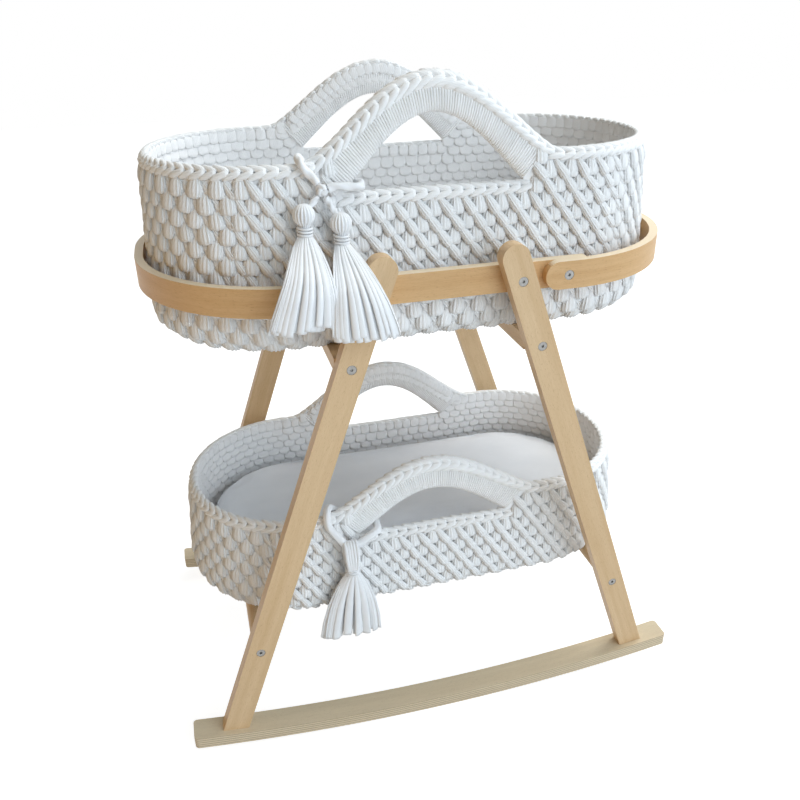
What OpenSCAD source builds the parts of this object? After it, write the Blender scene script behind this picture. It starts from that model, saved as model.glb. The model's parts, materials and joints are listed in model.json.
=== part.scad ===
// Rocking stand with a bentwood ring that carries a crocheted moses basket,
// and a second, lower crocheted basket on the bars between its legs.
// X runs along the rockers, Y from the front to the back, Z up from the floor.

/* [Rockers] */
// Length of a rocker, end to end
rocker_length = 800; // [740:5:860]
// Width of a rocker across its top
rocker_width = 38; // [32:1:46]
// Thickness of the bent laminated rocker
rocker_thickness = 20; // [18:1:24]
// Radius of the rocker's underside
rocker_radius = 2850; // [2400:50:3600]
// Rounding of the rocker's corners seen from above
rocker_corner = 6; // [2:0.5:10]

/* [Legs] */
// Depth of the stand over the outer faces of its legs
frame_depth = 468; // [455:1:500]
// Width of a leg seen from the front
leg_width = 38; // [34:1:44]
// Thickness of a leg
leg_thickness = 20; // [18:1:24]
// Splay of the legs from upright, in degrees
leg_splay = 19.5; // [17:0.5:21]
// Height of the bolts that join the legs to the rails
rail_bolt_height = 715; // [700:1:730]
// Distance of a rail bolt from the middle of the stand
rail_bolt_reach = 98; // [92:1:106]
// Distance along the leg from the rail bolt to the centre of its round end
leg_top_reach = 33; // [24:1:40]

/* [Ring] */
// Height of the rails and hoops
ring_band = 38; // [34:1:44]
// Thickness of a straight rail
rail_thickness = 14; // [12:0.5:16]
// Length of a straight rail
rail_length = 392; // [376:2:400]
// Thickness of a bent hoop
hoop_thickness = 12; // [10:0.5:13]
// Half of the straight run between a hoop's two bends
hoop_flat = 18; // [14:1:26]
// Distance of a hoop bolt from the middle of the stand
hoop_bolt_reach = 166; // [164:1:168]
// Length of a hoop's arm past its bolt, tip included
hoop_tip_reach = 33; // [28:1:36]
// Straight run of a hoop's arm from its bolt to its bend
hoop_arm_run = 10; // [9:0.5:21]

/* [Crossbars] */
// Height of the bolts of the upper crossbars
upper_bar_height = 621; // [610:1:630]
// Width of an upper crossbar
upper_bar_width = 38; // [30:1:44]
// Thickness of an upper crossbar
upper_bar_thickness = 20; // [18:1:24]
// Height of the bolts of the lower crossbars
lower_bar_height = 183; // [178:1:200]
// Diameter of a lower crossbar
lower_bar_diameter = 22; // [20:1:28]

/* [Fasteners] */
// Diameter of the bolts
bolt_diameter = 6; // [5:0.5:7]
// Diameter of a bolt's head
bolt_head = 12.6; // [11:0.2:14]
// Height of a bolt's head
bolt_head_height = 4; // [3:0.25:5]
// Width across the flats of the key hole in a head
bolt_key = 4; // [3:0.5:5]
// Depth of a head below the face of the wood
head_recess = 0.4; // [0.2:0.1:1]
// Diameter of a sleeve nut's barrel
sleeve_diameter = 8; // [7.6:0.2:9]
// Thickness of a sleeve nut's flange
sleeve_flange = 2; // [1.5:0.25:3]
// Diameter of a barrel nut
barrel_diameter = 10; // [9:0.5:12]
// Length of a barrel nut
barrel_length = 16; // [14:0.5:17]
// Distance of a barrel nut from the end of its crossbar
barrel_inset = 30; // [24:1:40]
// Length of a bolt past its barrel nut's centre
bolt_run_out = 8; // [6:1:12]
// Diameter of the screws through the rockers
screw_diameter = 4; // [3.5:0.5:5]
// Diameter of those screws' heads
screw_head = 8; // [7:0.5:9]
// Height of those screws' heads
screw_head_height = 3.5; // [2.5:0.5:4]
// Depth of those screws in the leg
screw_grip = 35; // [25:1:50]
// Wood left above those screws' heads
screw_seat = 9.5; // [7:0.5:11]
// Distance between the two screws of a foot
screw_spread = 18; // [14:1:22]

/* [Basket shells] */
// Gap between the ends of a basket and the hoops
hoop_clearance = 5; // [3:1:14]
// Gap between the sides of a basket and the rails
rail_clearance = 16; // [5:1:25]
// Taper of a basket's length from just above its base to its rim
length_taper = 20; // [0:2:34]
// Taper of a basket's width from just above its base to its rim
width_taper = 28; // [8:2:36]
// Half of the straight run at a basket's ends just above its base
base_end_flat = 6; // [4:1:34]
// Half of the straight run at a basket's ends at its rim
rim_end_flat = 4; // [2:1:20]
// Rounding of a basket's lower edge
base_edge = 35; // [28:1:40]
// Thickness of the crocheted wall
basket_wall = 14; // [10:0.5:16]
// Height of the upper basket's rim above its base
upper_basket_height = 235; // [220:1:250]
// Height of the lower basket's rim above its base
lower_basket_height = 161; // [150:1:175]

/* [Handles] */
// Length of the rise in the rim at a handle
handle_span = 334; // [310:2:340]
// Length of the opening under a handle
opening_span = 244; // [220:2:250]
// Depth of the opening's sill below the rim
opening_drop = 37; // [30:1:42]
// Height of the band over the opening
handle_band = 46; // [40:1:50]
// Lean of a handle's top towards the middle of the basket
handle_lean = 18; // [8:1:26]
// Rise of the upper basket's front handle
upper_front_rise = 98; // [85:1:110]
// Rise of the upper basket's rear handle
upper_rear_rise = 90; // [85:1:110]
// Rise of the lower basket's front handle
lower_front_rise = 66; // [60:1:100]
// Rise of the lower basket's rear handle
lower_rear_rise = 94; // [60:1:110]

/* [Bedding] */
// Thickness of a base board
board_thickness = 6; // [4:0.5:9]
// Gap between a base board and the rounding of its basket's lower edge
board_clearance = 2; // [0:1:14]
// Gap between a mattress and its basket's rim
mattress_clearance = 3; // [2:0.5:11]
// Thickness of a mattress at its edge
mattress_thickness = 66; // [50:1:74]
// Rise of a mattress at its middle
mattress_crown = 8; // [4:1:12]
// Draw-in of a mattress's sides at its seams
mattress_draw = 9; // [4:1:14]

/* [Tassels] */
// Diameter of the upper basket's crocheted tassel cord
upper_cord = 9; // [8:0.5:10]
// Diameter of the lower basket's tassel cord
lower_cord = 10; // [8:0.5:11]
// Diameter of the knot that a tassel hangs from
knot_diameter = 17; // [15:0.5:18]
// Diameter of an upper tassel's ball
upper_ball = 27; // [24:0.5:30]
// Diameter of the lower tassel's ball
lower_ball = 20; // [19:0.5:24]
// Diameter of a tassel's neck
neck_diameter = 14; // [12:0.5:15]
// Height of a tassel's neck
neck_height = 17; // [16.5:0.5:19]
// Thickness of the yarn bound round a neck
binding_yarn = 3.2; // [2.5:0.1:3.6]
// Rise of that yarn in one turn
binding_pitch = 3.9; // [3.7:0.1:4.2]
// Turns of that yarn
binding_turns = 3; // [2:1:3]
// Length of an upper tassel's skirt
upper_skirt = 112; // [100:1:124]
// Length of the lower tassel's skirt
lower_skirt = 108; // [104:1:116]
// Width of a skirt at its hem
skirt_width = 78; // [70:1:80]
// Thickness of a skirt at its hem
skirt_thickness = 20; // [16:1:22]
// Length of the outer tassel's tail, from its knot to its ball's centre
outer_tail = 36; // [34:1:40]
// Length of the inner tassel's tail
inner_tail = 43; // [40:1:48]
// Sideways fan of the outer tassel's tail, in degrees
tail_fan = 45; // [43:1:48]
// Distance that a ball stands forward of its knot
tail_forward = 9; // [6:1:12]
// Sideways fall of the outer tassel's skirt
outer_fall = 20; // [18:1:26]
// Sideways fall of the inner tassel's skirt
inner_fall = 16; // [14:1:18]
// Distance that the ring holds an upper skirt's hem forward of its neck
skirt_reach = 69; // [67:1:72]

/* [Hidden] */

// Clearances and the overrun of cuts
hole_gap = 0.2;
head_gap = 0.4;
nut_gap = 0.1;
thread_gap = 0.05;
foot_gap = 0.05;
soft_gap = 0.3;
overrun = 5;
key_depth_share = 0.6;

// Facets of plain rounds and of the long arcs of the rockers
$fn = 64;
arc_facets = 1440;

wood = "burlywood";
edge_wood = "tan";
steel = "silver";
yarn = "whitesmoke";
cloth = "white";

// Places worked out from the sizes above
leg_front = -frame_depth / 2;
leg_back = leg_front + leg_thickness;
leg_middle = leg_front + leg_thickness / 2;
rail_back = leg_back + rail_thickness;
hoop_front = leg_back - hoop_thickness;
rail_middle_height = rail_bolt_height;
hoop_bend = -hoop_front - hoop_flat;
ring_length = 2 * (hoop_bolt_reach + hoop_arm_run + hoop_bend);
rocker_top_radius = rocker_radius - rocker_thickness;
leg_top_height = rail_bolt_height + leg_top_reach * cos(leg_splay);
leg_length = leg_top_height / cos(leg_splay);
bar_length = -2 * leg_back;
foot_guess = leg_x(rocker_thickness);
foot_height = rocker_radius - sqrt(pow(rocker_top_radius, 2) - pow(foot_guess, 2));
screw_reach = rocker_thickness * 2;
upper_base = upper_bar_height + upper_bar_thickness / 2 + soft_gap;
lower_base = lower_bar_height + lower_bar_diameter / 2 + soft_gap;

// The baskets fit the ring, and the boards and mattresses fit the baskets
basket_length = ring_length - 2 * (hoop_thickness + hoop_clearance);
basket_width = -2 * (rail_back + rail_clearance);
rim_length = basket_length - length_taper;
rim_width = basket_width - width_taper;
base_end_radius = basket_width / 2 - base_end_flat;
rim_end_radius = rim_width / 2 - rim_end_flat;
board_length = basket_length - 2 * (base_edge + board_clearance);
board_width = basket_width - 2 * (base_edge + board_clearance);
mattress_length = rim_length - 2 * (basket_wall + mattress_clearance);
mattress_width = rim_width - 2 * (basket_wall + mattress_clearance);

// Steps round a basket's outline: each quarter bend, each long side
shell_bend_steps = 9;
shell_side_steps = 26;
mattress_bend_steps = 7;
mattress_side_steps = 6;
edge_steps = 3;
handle_fullness_share = 0.7;
opening_fullness_share = 0.55;
shoulder_share = 0.8;
opening_steps = 13;

// Mattress rows: share of the height and of the draw-in; crown rows: share of the plan and of the rise
mattress_side_shares = [[0, 1.6], [0.06, 0.7], [0.2, 0.15], [0.5, 0], [0.8, 0.15], [0.94, 0.7], [1, 1.6]];
mattress_crown_shares = [[0.82, 0.45], [0.55, 0.85], [0.25, 0.98]];

// Skirt rows: share of the drop, of the reach, of the hem's width and of its thickness
skirt_rows_shares = [
    [0, 0, 0, 0], [0.08, 0.18, 0.14, 0.2], [0.2, 0.54, 0.3, 0.4], [0.33, 0.84, 0.46, 0.6],
    [0.5, 0.97, 0.66, 0.8], [0.75, 1, 0.86, 0.95], [1, 1, 1, 1]
];
skirt_sides = 36;
skirt_folds = 9;
skirt_fold_share = 0.16;
neck_sink_share = 0.25;
inner_fan_share = 0.58;

// Sides and steps of the cords and of the yarn round the necks
cord_sides = 10;
knot_rings = 7;
cord_steps = 3;
binding_sides = 6;
binding_rings = 24;

// Routes of the two cords round the left roots of the front handles, from beside the knot and into it
upper_cord_route = [
    [-153, -183, 846], [-157, -181, 852], [-165, -179, 861], [-170, -178, 868], [-171, -172, 872],
    [-171, -163, 873], [-169, -154, 872], [-164, -149, 865], [-150, -148, 855], [-120, -149, 846],
    [-102, -154, 841], [-97, -166, 840], [-99, -178, 839], [-112, -183, 840], [-130, -184, 842],
    [-141, -185, 840]
];
lower_cord_route = [
    [-144, -191, 318], [-150, -188, 325], [-159, -184, 337], [-165, -181, 347], [-167, -178, 357],
    [-166, -170, 364], [-162, -158, 364], [-155, -148, 358], [-138, -147, 343], [-114, -147, 333],
    [-98, -148, 329], [-91, -156, 328], [-90, -166, 328], [-92, -178, 327], [-102, -185, 325],
    [-120, -190, 318], [-131, -192, 314]
];
upper_knot = knot_place(upper_cord_route, upper_cord);
lower_knot = knot_place(lower_cord_route, lower_cord);

// Balls that hang below the knots, the lower one close under its own
lower_tail = sqrt(pow((knot_diameter + lower_ball) / 2 + soft_gap, 2) - pow(tail_forward, 2));
outer_ball_place = hung(upper_knot, outer_tail, -tail_fan);
inner_ball_place = hung(upper_knot, inner_tail, tail_fan * inner_fan_share);
lower_ball_place = hung(lower_knot, lower_tail, 0);

function leg_x(height) = rail_bolt_reach + (rail_bolt_height - height) * tan(leg_splay);

// A place below a knot, at the end of a tail that fans out sideways
function hung(knot, tail, fan) = knot + [tail * sin(fan), -tail_forward, -tail * cos(fan)];

// The middle of the knot that a cord's route runs into
function knot_place(route, cord) = let (end = route[len(route) - 1])
    end + unit(end - route[len(route) - 2]) * sqrt(pow(knot_diameter, 2) - pow(cord, 2)) / 2;

function unit(v) = v / norm(v);

function tangent(path, i) = unit(path[min(i + 1, len(path) - 1)] - path[max(i - 1, 0)]);

function squared(v, t) = unit(v - (v * t) * t);

// Directions square to a path, carried along it without twist
function carried(path, v, i = 0) =
    i == len(path) ? [] :
    let (n = squared(v, tangent(path, i))) concat([n], carried(path, n, i + 1));

// A smooth path through the points of a route
function smoothed(route, steps) = [
    for (i = [0 : len(route) - 2], s = [0 : steps - 1])
        let (
            t = s / steps,
            a = route[max(i - 1, 0)], b = route[i], c = route[i + 1],
            d = route[min(i + 2, len(route) - 1)]
        )
        b + t * (c - a) / 2 + t * t * (2 * a - 5 * b + 4 * c - d) / 2
          + t * t * t * (3 * b - a - 3 * c + d) / 2,
    route[len(route) - 1]
];

// Triangles of a closed skin over rows of equally many points, with a fan at both ends
function skin_faces(rows, sides) = concat(
    [for (i = [0 : rows - 2], k = [0 : sides - 1])
        let (a = i * sides, b = a + sides, n = (k + 1) % sides) [a + k, b + k, a + n]],
    [for (i = [0 : rows - 2], k = [0 : sides - 1])
        let (a = i * sides, b = a + sides, n = (k + 1) % sides) [b + k, b + n, a + n]],
    [for (k = [0 : sides - 1]) [rows * sides, k, (k + 1) % sides]],
    [for (k = [0 : sides - 1])
        let (a = (rows - 1) * sides) [rows * sides + 1, a + (k + 1) % sides, a + k]]
);

function middle(row) = [for (axis = [0 : 2]) ([for (p = row) p[axis]] * [for (p = row) 1]) / len(row)];

// The solid inside rows of points that run clockwise seen along their order
module skin(rows) {
    points = [for (row = rows, p = row) p];
    ends = [middle(rows[0]), middle(rows[len(rows) - 1])];
    polyhedron(concat(points, ends), skin_faces(len(rows), len(rows[0])));
}

// A round tube along a path, with a diameter for each of its points
module tube(path, diameters, sides, start) {
    across = carried(path, start);
    skin([for (i = [0 : len(path) - 1]) [for (k = [0 : sides - 1])
        let (a = 360 * k / sides)
        path[i] + diameters[i] / 2 * (cos(a) * across[i] + sin(a) * cross(tangent(path, i), across[i]))]]);
}

module mirrored(on, axis) {
    if (on) mirror(axis) children();
    else children();
}

// A flat outline with straight sides and round corners, from its half sizes
module rounded_plan(half_length, half_width, corner) {
    square([2 * (half_length - corner), 2 * half_width], center = true);
    square([2 * half_length, 2 * (half_width - corner)], center = true);
    for (x = [-1, 1], y = [-1, 1])
        translate([x * (half_length - corner), y * (half_width - corner)]) circle(r = corner, $fn = 128);
}

// A drawing of X and Z, drawn out towards the back from a given depth
module drawn_back(from, depth) {
    translate([0, from + depth, 0]) rotate([90, 0, 0]) linear_extrude(height = depth) children();
}

// A hole from the front, with the seat of a bolt's head
module bolt_hole(place, depth) {
    translate(place) rotate([-90, 0, 0]) {
        translate([0, 0, -overrun]) cylinder(h = depth + 2 * overrun, d = bolt_diameter + 2 * hole_gap);
        translate([0, 0, -overrun])
            cylinder(h = overrun + head_recess + bolt_head_height, d = bolt_head + 2 * head_gap);
    }
}

// A bolt whose head sits just below the face at the given place
module bolt(place, reach) {
    translate(place) rotate([-90, 0, 0]) translate([0, 0, head_recess]) difference() {
        union() {
            cylinder(h = bolt_head_height, d = bolt_head);
            cylinder(h = reach - head_recess, d = bolt_diameter);
        }
        translate([0, 0, -overrun])
            cylinder(h = overrun + bolt_head_height * key_depth_share, d = bolt_key / cos(30), $fn = 6);
    }
}

module both_ends() {
    children();
    mirror([0, 1, 0]) children();
}

module four_corners() {
    for (x = [0, 1], y = [0, 1]) mirrored(x == 1, [1, 0, 0]) mirrored(y == 1, [0, 1, 0]) children();
}

// Places and holes that the frame's pieces share, for the front right corner
function leg_bolt_place() = [rail_bolt_reach, leg_front, rail_bolt_height];
function hoop_bolt_place() = [hoop_bolt_reach, hoop_front, rail_middle_height];
function upper_bar_place() = [leg_x(upper_bar_height), leg_front, upper_bar_height];
function lower_bar_place() = [leg_x(lower_bar_height), leg_front, lower_bar_height];
bar_bolt_reach = leg_thickness + barrel_inset + bolt_run_out;

// The two screws of a foot stand along its leg
module at_foot_screws() {
    translate([leg_x(foot_height), leg_middle, foot_height]) rotate([0, -leg_splay, 0])
        for (side = [-1, 1]) translate([side * screw_spread / 2, 0, -screw_seat]) children();
}

module foot_screw_holes() {
    at_foot_screws() {
        cylinder(h = screw_seat + screw_grip + hole_gap, d = screw_diameter + 2 * hole_gap);
        translate([0, 0, -screw_reach]) cylinder(h = screw_reach, d = screw_head + 2 * head_gap);
    }
}

module rocker_shape() {
    rocker_middle = leg_middle;
    difference() {
        intersection() {
            drawn_back(rocker_middle - rocker_width / 2, rocker_width) translate([0, rocker_radius])
                difference() {
                    circle(r = rocker_radius, $fn = arc_facets);
                    circle(r = rocker_top_radius, $fn = arc_facets);
                }
            translate([0, rocker_middle, 0]) linear_extrude(height = leg_length)
                rounded_plan(rocker_length / 2, rocker_width / 2, rocker_corner);
        }
        for (x = [0, 1]) mirrored(x == 1, [1, 0, 0]) foot_screw_holes();
    }
}

module leg_shape() {
    difference() {
        intersection() {
            drawn_back(leg_front, leg_thickness) translate([leg_x(leg_top_height), leg_top_height]) {
                circle(d = leg_width);
                rotate(leg_splay) translate([-leg_width / 2, -leg_length]) square([leg_width, leg_length]);
            }
            drawn_back(leg_front - overrun, leg_thickness + 2 * overrun) translate([0, rocker_radius])
                circle(r = rocker_top_radius - foot_gap, $fn = arc_facets);
        }
        for (place = [leg_bolt_place(), upper_bar_place(), lower_bar_place()])
            bolt_hole(place, leg_thickness);
        foot_screw_holes();
    }
}

// The seat of a sleeve nut in the back of a rail
module sleeve_hole(x) {
    translate([x, leg_back, rail_middle_height]) rotate([-90, 0, 0]) {
        translate([0, 0, -overrun])
            cylinder(h = rail_thickness + 2 * overrun, d = sleeve_diameter + 2 * nut_gap);
        translate([0, 0, rail_thickness - sleeve_flange - head_recess])
            cylinder(h = sleeve_flange + overrun, d = bolt_head + 2 * head_gap);
    }
}

module sleeve_nut(x) {
    translate([x, leg_back, rail_middle_height]) rotate([-90, 0, 0]) difference() {
        union() {
            cylinder(h = rail_thickness - head_recess, d = sleeve_diameter);
            translate([0, 0, rail_thickness - sleeve_flange - head_recess])
                cylinder(h = sleeve_flange, d = bolt_head);
        }
        translate([0, 0, -overrun]) cylinder(
            h = overrun + rail_thickness - sleeve_flange - head_recess,
            d = bolt_diameter + 2 * thread_gap);
    }
}

// The space inside the bent hoops, which the rails' ends follow
module ring_plan(inset) {
    rounded_plan(ring_length / 2 - inset, -hoop_front - inset, hoop_bend - inset);
}

module rail_shape() {
    difference() {
        intersection() {
            translate([-rail_length / 2, leg_back, rail_middle_height - ring_band / 2])
                cube([rail_length, rail_thickness, ring_band]);
            linear_extrude(height = leg_length) ring_plan(hoop_thickness);
        }
        for (x = [rail_bolt_reach, hoop_bolt_reach], side = [-1, 1]) sleeve_hole(side * x);
    }
}

module hoop_shape() {
    tip = hoop_bolt_reach - hoop_tip_reach;
    difference() {
        intersection() {
            translate([0, 0, rail_middle_height - ring_band / 2]) linear_extrude(height = ring_band)
                difference() {
                    ring_plan(0);
                    ring_plan(hoop_thickness);
                }
            drawn_back(leg_front, frame_depth) translate([tip + ring_band / 2, rail_middle_height]) {
                circle(d = ring_band);
                translate([0, -ring_band / 2]) square([ring_length / 2, ring_band]);
            }
        }
        both_ends() bolt_hole(hoop_bolt_place(), hoop_thickness);
    }
}

// A bore from the front end of a crossbar, with the cross bore of its barrel nut
module bar_bores(place) {
    translate([place[0], leg_back, place[2]]) {
        rotate([-90, 0, 0]) translate([0, 0, -overrun]) cylinder(
            h = overrun + barrel_inset + bolt_run_out + head_gap, d = bolt_diameter + 2 * hole_gap);
        translate([0, barrel_inset, -upper_bar_width])
            cylinder(h = 2 * upper_bar_width, d = barrel_diameter + 2 * nut_gap);
    }
}

module barrel_nut(place) {
    translate([place[0], leg_back + barrel_inset, place[2]]) difference() {
        cylinder(h = barrel_length, d = barrel_diameter, center = true);
        rotate([-90, 0, 0])
            cylinder(h = 2 * barrel_diameter, d = bolt_diameter + 2 * thread_gap, center = true);
    }
}

module upper_bar_shape() {
    place = upper_bar_place();
    difference() {
        translate([place[0], 0, place[2]])
            cube([upper_bar_width, bar_length, upper_bar_thickness], center = true);
        both_ends() bar_bores(place);
    }
}

module lower_bar_shape() {
    place = lower_bar_place();
    difference() {
        translate([place[0], leg_back, place[2]]) rotate([-90, 0, 0])
            cylinder(h = bar_length, d = lower_bar_diameter);
        both_ends() bar_bores(place);
    }
}

// Points of an outline with round ends, counted the same way whatever its size
function outline(half_length, half_width, corner, bends, sides) = let (
    cx = half_length - corner,
    cy = half_width - corner
) concat(
    [for (i = [0 : bends]) let (a = -90 + 90 * i / bends) [cx + corner * cos(a), -cy + corner * sin(a)]],
    [for (i = [0 : bends]) let (a = 90 * i / bends) [cx + corner * cos(a), cy + corner * sin(a)]],
    [for (i = [1 : sides - 1]) [cx * (1 - 2 * i / sides), half_width]],
    [for (i = [0 : bends]) let (a = 90 + 90 * i / bends) [-cx + corner * cos(a), cy + corner * sin(a)]],
    [for (i = [0 : bends]) let (a = 180 + 90 * i / bends) [-cx + corner * cos(a), -cy + corner * sin(a)]],
    [for (i = [1 : sides - 1]) [-cx * (1 - 2 * i / sides), -half_width]]
);

// The bell-shaped rise of a handle, from 0 at its ends to 1 at its middle
function bell(x, span, fullness) =
    abs(x) >= span / 2 ? 0 : pow((1 + cos(360 * x / span)) / 2, fullness);

// One row of a basket's wall: its share of the way from the base's edge to the rim, drawn in by an inset
function wall_row(base, height, share, inset, rises) = let (
    low = base + base_edge,
    high = base + height,
    plan = outline(
        basket_length / 2 + (rim_length - basket_length) / 2 * share - inset,
        basket_width / 2 + (rim_width - basket_width) / 2 * share - inset,
        base_end_radius + (rim_end_radius - base_end_radius) * share - inset,
        shell_bend_steps, shell_side_steps)
) [for (p = plan) let (
    rise = share < 1 ? 0 : (p[1] < 0 ? rises[0] : rises[1]) * bell(p[0], handle_span, handle_fullness_share),
    lean = handle_lean * rise / max(rises)
) [p[0], p[1] - sign(p[1]) * lean, low + (high - low) * share + rise]];

// One row of a basket's rounded lower edge, drawn in by an inset
function edge_row(base, angle, inset) = let (
    radius = base_edge - inset,
    plan = outline(
        basket_length / 2 - inset - radius * (1 - sin(angle)),
        basket_width / 2 - inset - radius * (1 - sin(angle)),
        base_end_radius - inset - radius * (1 - sin(angle)),
        shell_bend_steps, shell_side_steps)
) [for (p = plan) [p[0], p[1], base + base_edge - radius * cos(angle)]];

function shell_rows(base, height, rises) = concat(
    [for (i = [0 : edge_steps]) edge_row(base, 90 * i / edge_steps, 0)],
    [for (share = [shoulder_share, 1]) wall_row(base, height, share, 0, rises)],
    [for (share = [1, shoulder_share]) wall_row(base, height, share, basket_wall, rises)],
    [for (i = [edge_steps : -1 : 0]) edge_row(base, 90 * i / edge_steps, basket_wall)]
);

// The opening under a handle, cut from the middle of the basket out through the front wall
module handle_opening(base, height, rise) {
    tall = rise + opening_drop - handle_band;
    drawn_back(-basket_width, basket_width) translate([0, base + height - opening_drop])
        polygon([for (i = [-opening_steps : opening_steps]) let (x = opening_span / 2 * i / opening_steps)
            [x, tall * bell(x, opening_span, opening_fullness_share)]]);
}

module basket_shell(base, height, rises) {
    color(yarn) difference() {
        skin(shell_rows(base, height, rises));
        handle_opening(base, height, rises[0]);
        mirror([0, 1, 0]) handle_opening(base, height, rises[1]);
    }
}

module base_board(base) {
    color(edge_wood) translate([0, 0, base + basket_wall + soft_gap])
        linear_extrude(height = board_thickness)
            rounded_plan(board_length / 2, board_width / 2, board_width / 2 - basket_wall / 2);
}

function mattress_row(inset, height) = [for (p = outline(
        mattress_length / 2 - inset, mattress_width / 2 - inset,
        mattress_width / 2 - basket_wall / 2 - inset, mattress_bend_steps, mattress_side_steps))
    [p[0], p[1], height]];

module mattress(base) {
    low = base + basket_wall + board_thickness + 2 * soft_gap;
    top = low + mattress_thickness;
    sides = [for (s = mattress_side_shares)
        mattress_row(mattress_draw * s[1], low + mattress_thickness * s[0])];
    crown = [for (s = mattress_crown_shares) [for (p = sides[len(sides) - 1])
        [p[0] * s[0], p[1] * s[0], top + mattress_crown * s[1]]]];
    color(cloth) skin(concat(sides, crown));
}

// A straight rod between two points
module rod(from, to, diameter) {
    way = to - from;
    translate(from) rotate([0, acos(way[2] / norm(way)), atan2(way[1], way[0])])
        cylinder(h = norm(way), d = diameter);
}

// The cord round a handle's root, which swells into a round knot at its end
module tassel_cord(route, knot, diameter) {
    path = smoothed(route, cord_steps);
    way = unit(knot - route[len(route) - 1]);
    first = asin(diameter / knot_diameter);
    angles = [for (i = [1 : knot_rings]) first + (180 - first) * i / (knot_rings + 1)];
    color(yarn) tube(
        concat(path, [for (a = angles) knot - knot_diameter / 2 * cos(a) * way]),
        concat([for (p = path) diameter], [for (a = angles) knot_diameter * sin(a)]),
        cord_sides, [1, 0, 0]);
}

// The tail that a tassel hangs on, clear of the knot and of its ball
module tassel_tail(knot, ball_place, ball, diameter) {
    color(yarn) difference() {
        rod(knot, ball_place, diameter);
        translate(knot) sphere(d = knot_diameter + 2 * soft_gap);
        translate(ball_place) sphere(d = ball);
    }
}

function neck_foot(place, ball) = place - [0, 0, ball / 2 + neck_height - neck_diameter * neck_sink_share];

module tassel_ball(place, ball) {
    foot = neck_foot(place, ball);
    color(yarn) {
        translate(place) sphere(d = ball);
        translate(foot) cylinder(h = place[2] - foot[2], d = neck_diameter);
    }
}

// The yarn bound round a neck: one helix, with straight ends one thickness long
function binding_path(foot) = let (
    radius = (neck_diameter + binding_yarn) / 2 + nut_gap,
    low = foot[2] + binding_yarn / 2 + soft_gap,
    count = binding_turns * binding_rings,
    turn = [for (i = [0 : count]) let (a = 360 * i / binding_rings)
        [foot[0] + radius * cos(a), foot[1] + radius * sin(a), low + binding_pitch * i / binding_rings]]
) concat(
    [turn[0] - binding_yarn * unit(turn[1] - turn[0])],
    turn,
    [turn[count] + binding_yarn * unit(turn[count] - turn[count - 1])]
);

// The least distance between turns, measured on the path's points
function binding_gap(path) = min([
    for (i = [0 : len(path) - 1], k = [i + binding_rings / 2 : 1 : len(path) - 1]) norm(path[i] - path[k])
]) - binding_yarn;

module tassel_binding(ball_place, ball) {
    path = binding_path(neck_foot(ball_place, ball));
    color(yarn) tube(path, [for (p = path) binding_yarn], binding_sides, [0, 0, 1]);
}

// A skirt that hangs from a neck, drawn forward by the ring and sideways by its own fall
module tassel_skirt(ball_place, ball, length, reach, drift) {
    top = neck_foot(ball_place, ball);
    color(yarn) skin([for (s = skirt_rows_shares) [for (k = [0 : skirt_sides - 1]) let (
        angle = -360 * k / skirt_sides,
        fold = 1 - skirt_fold_share * s[2] * (1 + cos(skirt_folds * angle)) / 2,
        wide = (neck_diameter + (skirt_width - neck_diameter) * s[2]) / 2 * fold,
        thick = (neck_diameter + (skirt_thickness - neck_diameter) * s[3]) / 2 * fold
    ) [
        top[0] + drift * s[0] + wide * cos(angle),
        top[1] - reach * s[1] + thick * sin(angle),
        top[2] - length * s[0]
    ]]]);
}

upper_rises = [upper_front_rise, upper_rear_rise];
lower_rises = [lower_front_rise, lower_rear_rise];
echo(least_binding_gap = binding_gap(binding_path(upper_knot)));

module front_rocker() { color(wood) rocker_shape(); }
module rear_rocker() { color(wood) mirror([0, 1, 0]) rocker_shape(); }
module front_left_leg() { color(wood) mirror([1, 0, 0]) leg_shape(); }
module front_right_leg() { color(wood) leg_shape(); }
module rear_left_leg() { color(wood) mirror([0, 1, 0]) mirror([1, 0, 0]) leg_shape(); }
module rear_right_leg() { color(wood) mirror([0, 1, 0]) leg_shape(); }
module front_rail() { color(wood) rail_shape(); }
module rear_rail() { color(wood) mirror([0, 1, 0]) rail_shape(); }
module left_hoop() { color(wood) mirror([1, 0, 0]) hoop_shape(); }
module right_hoop() { color(wood) hoop_shape(); }
module upper_left_crossbar() { color(wood) mirror([1, 0, 0]) upper_bar_shape(); }
module upper_right_crossbar() { color(wood) upper_bar_shape(); }
module lower_left_crossbar() { color(wood) mirror([1, 0, 0]) lower_bar_shape(); }
module lower_right_crossbar() { color(wood) lower_bar_shape(); }
module leg_bolts() {
    color(steel) four_corners()
        bolt(leg_bolt_place(), leg_thickness + rail_thickness - sleeve_flange - 2 * head_recess);
}
module hoop_bolts() {
    color(steel) four_corners()
        bolt(hoop_bolt_place(), hoop_thickness + rail_thickness - sleeve_flange - 2 * head_recess);
}
module crossbar_bolts() {
    color(steel) four_corners() for (place = [upper_bar_place(), lower_bar_place()])
        bolt(place, bar_bolt_reach);
}
module sleeve_nuts() {
    color(steel) four_corners() for (x = [rail_bolt_reach, hoop_bolt_reach]) sleeve_nut(x);
}
module barrel_nuts() {
    color(steel) four_corners() for (place = [upper_bar_place(), lower_bar_place()]) barrel_nut(place);
}
module rocker_screws() {
    color(steel) four_corners() at_foot_screws() {
        cylinder(h = screw_seat + screw_grip, d = screw_diameter);
        translate([0, 0, -screw_head_height]) cylinder(h = screw_head_height, d = screw_head);
    }
}
module upper_basket_shell() { basket_shell(upper_base, upper_basket_height, upper_rises); }
module upper_base_board() { base_board(upper_base); }
module upper_mattress() { mattress(upper_base); }
module upper_tassel_cord() { tassel_cord(upper_cord_route, upper_knot, upper_cord); }
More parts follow.
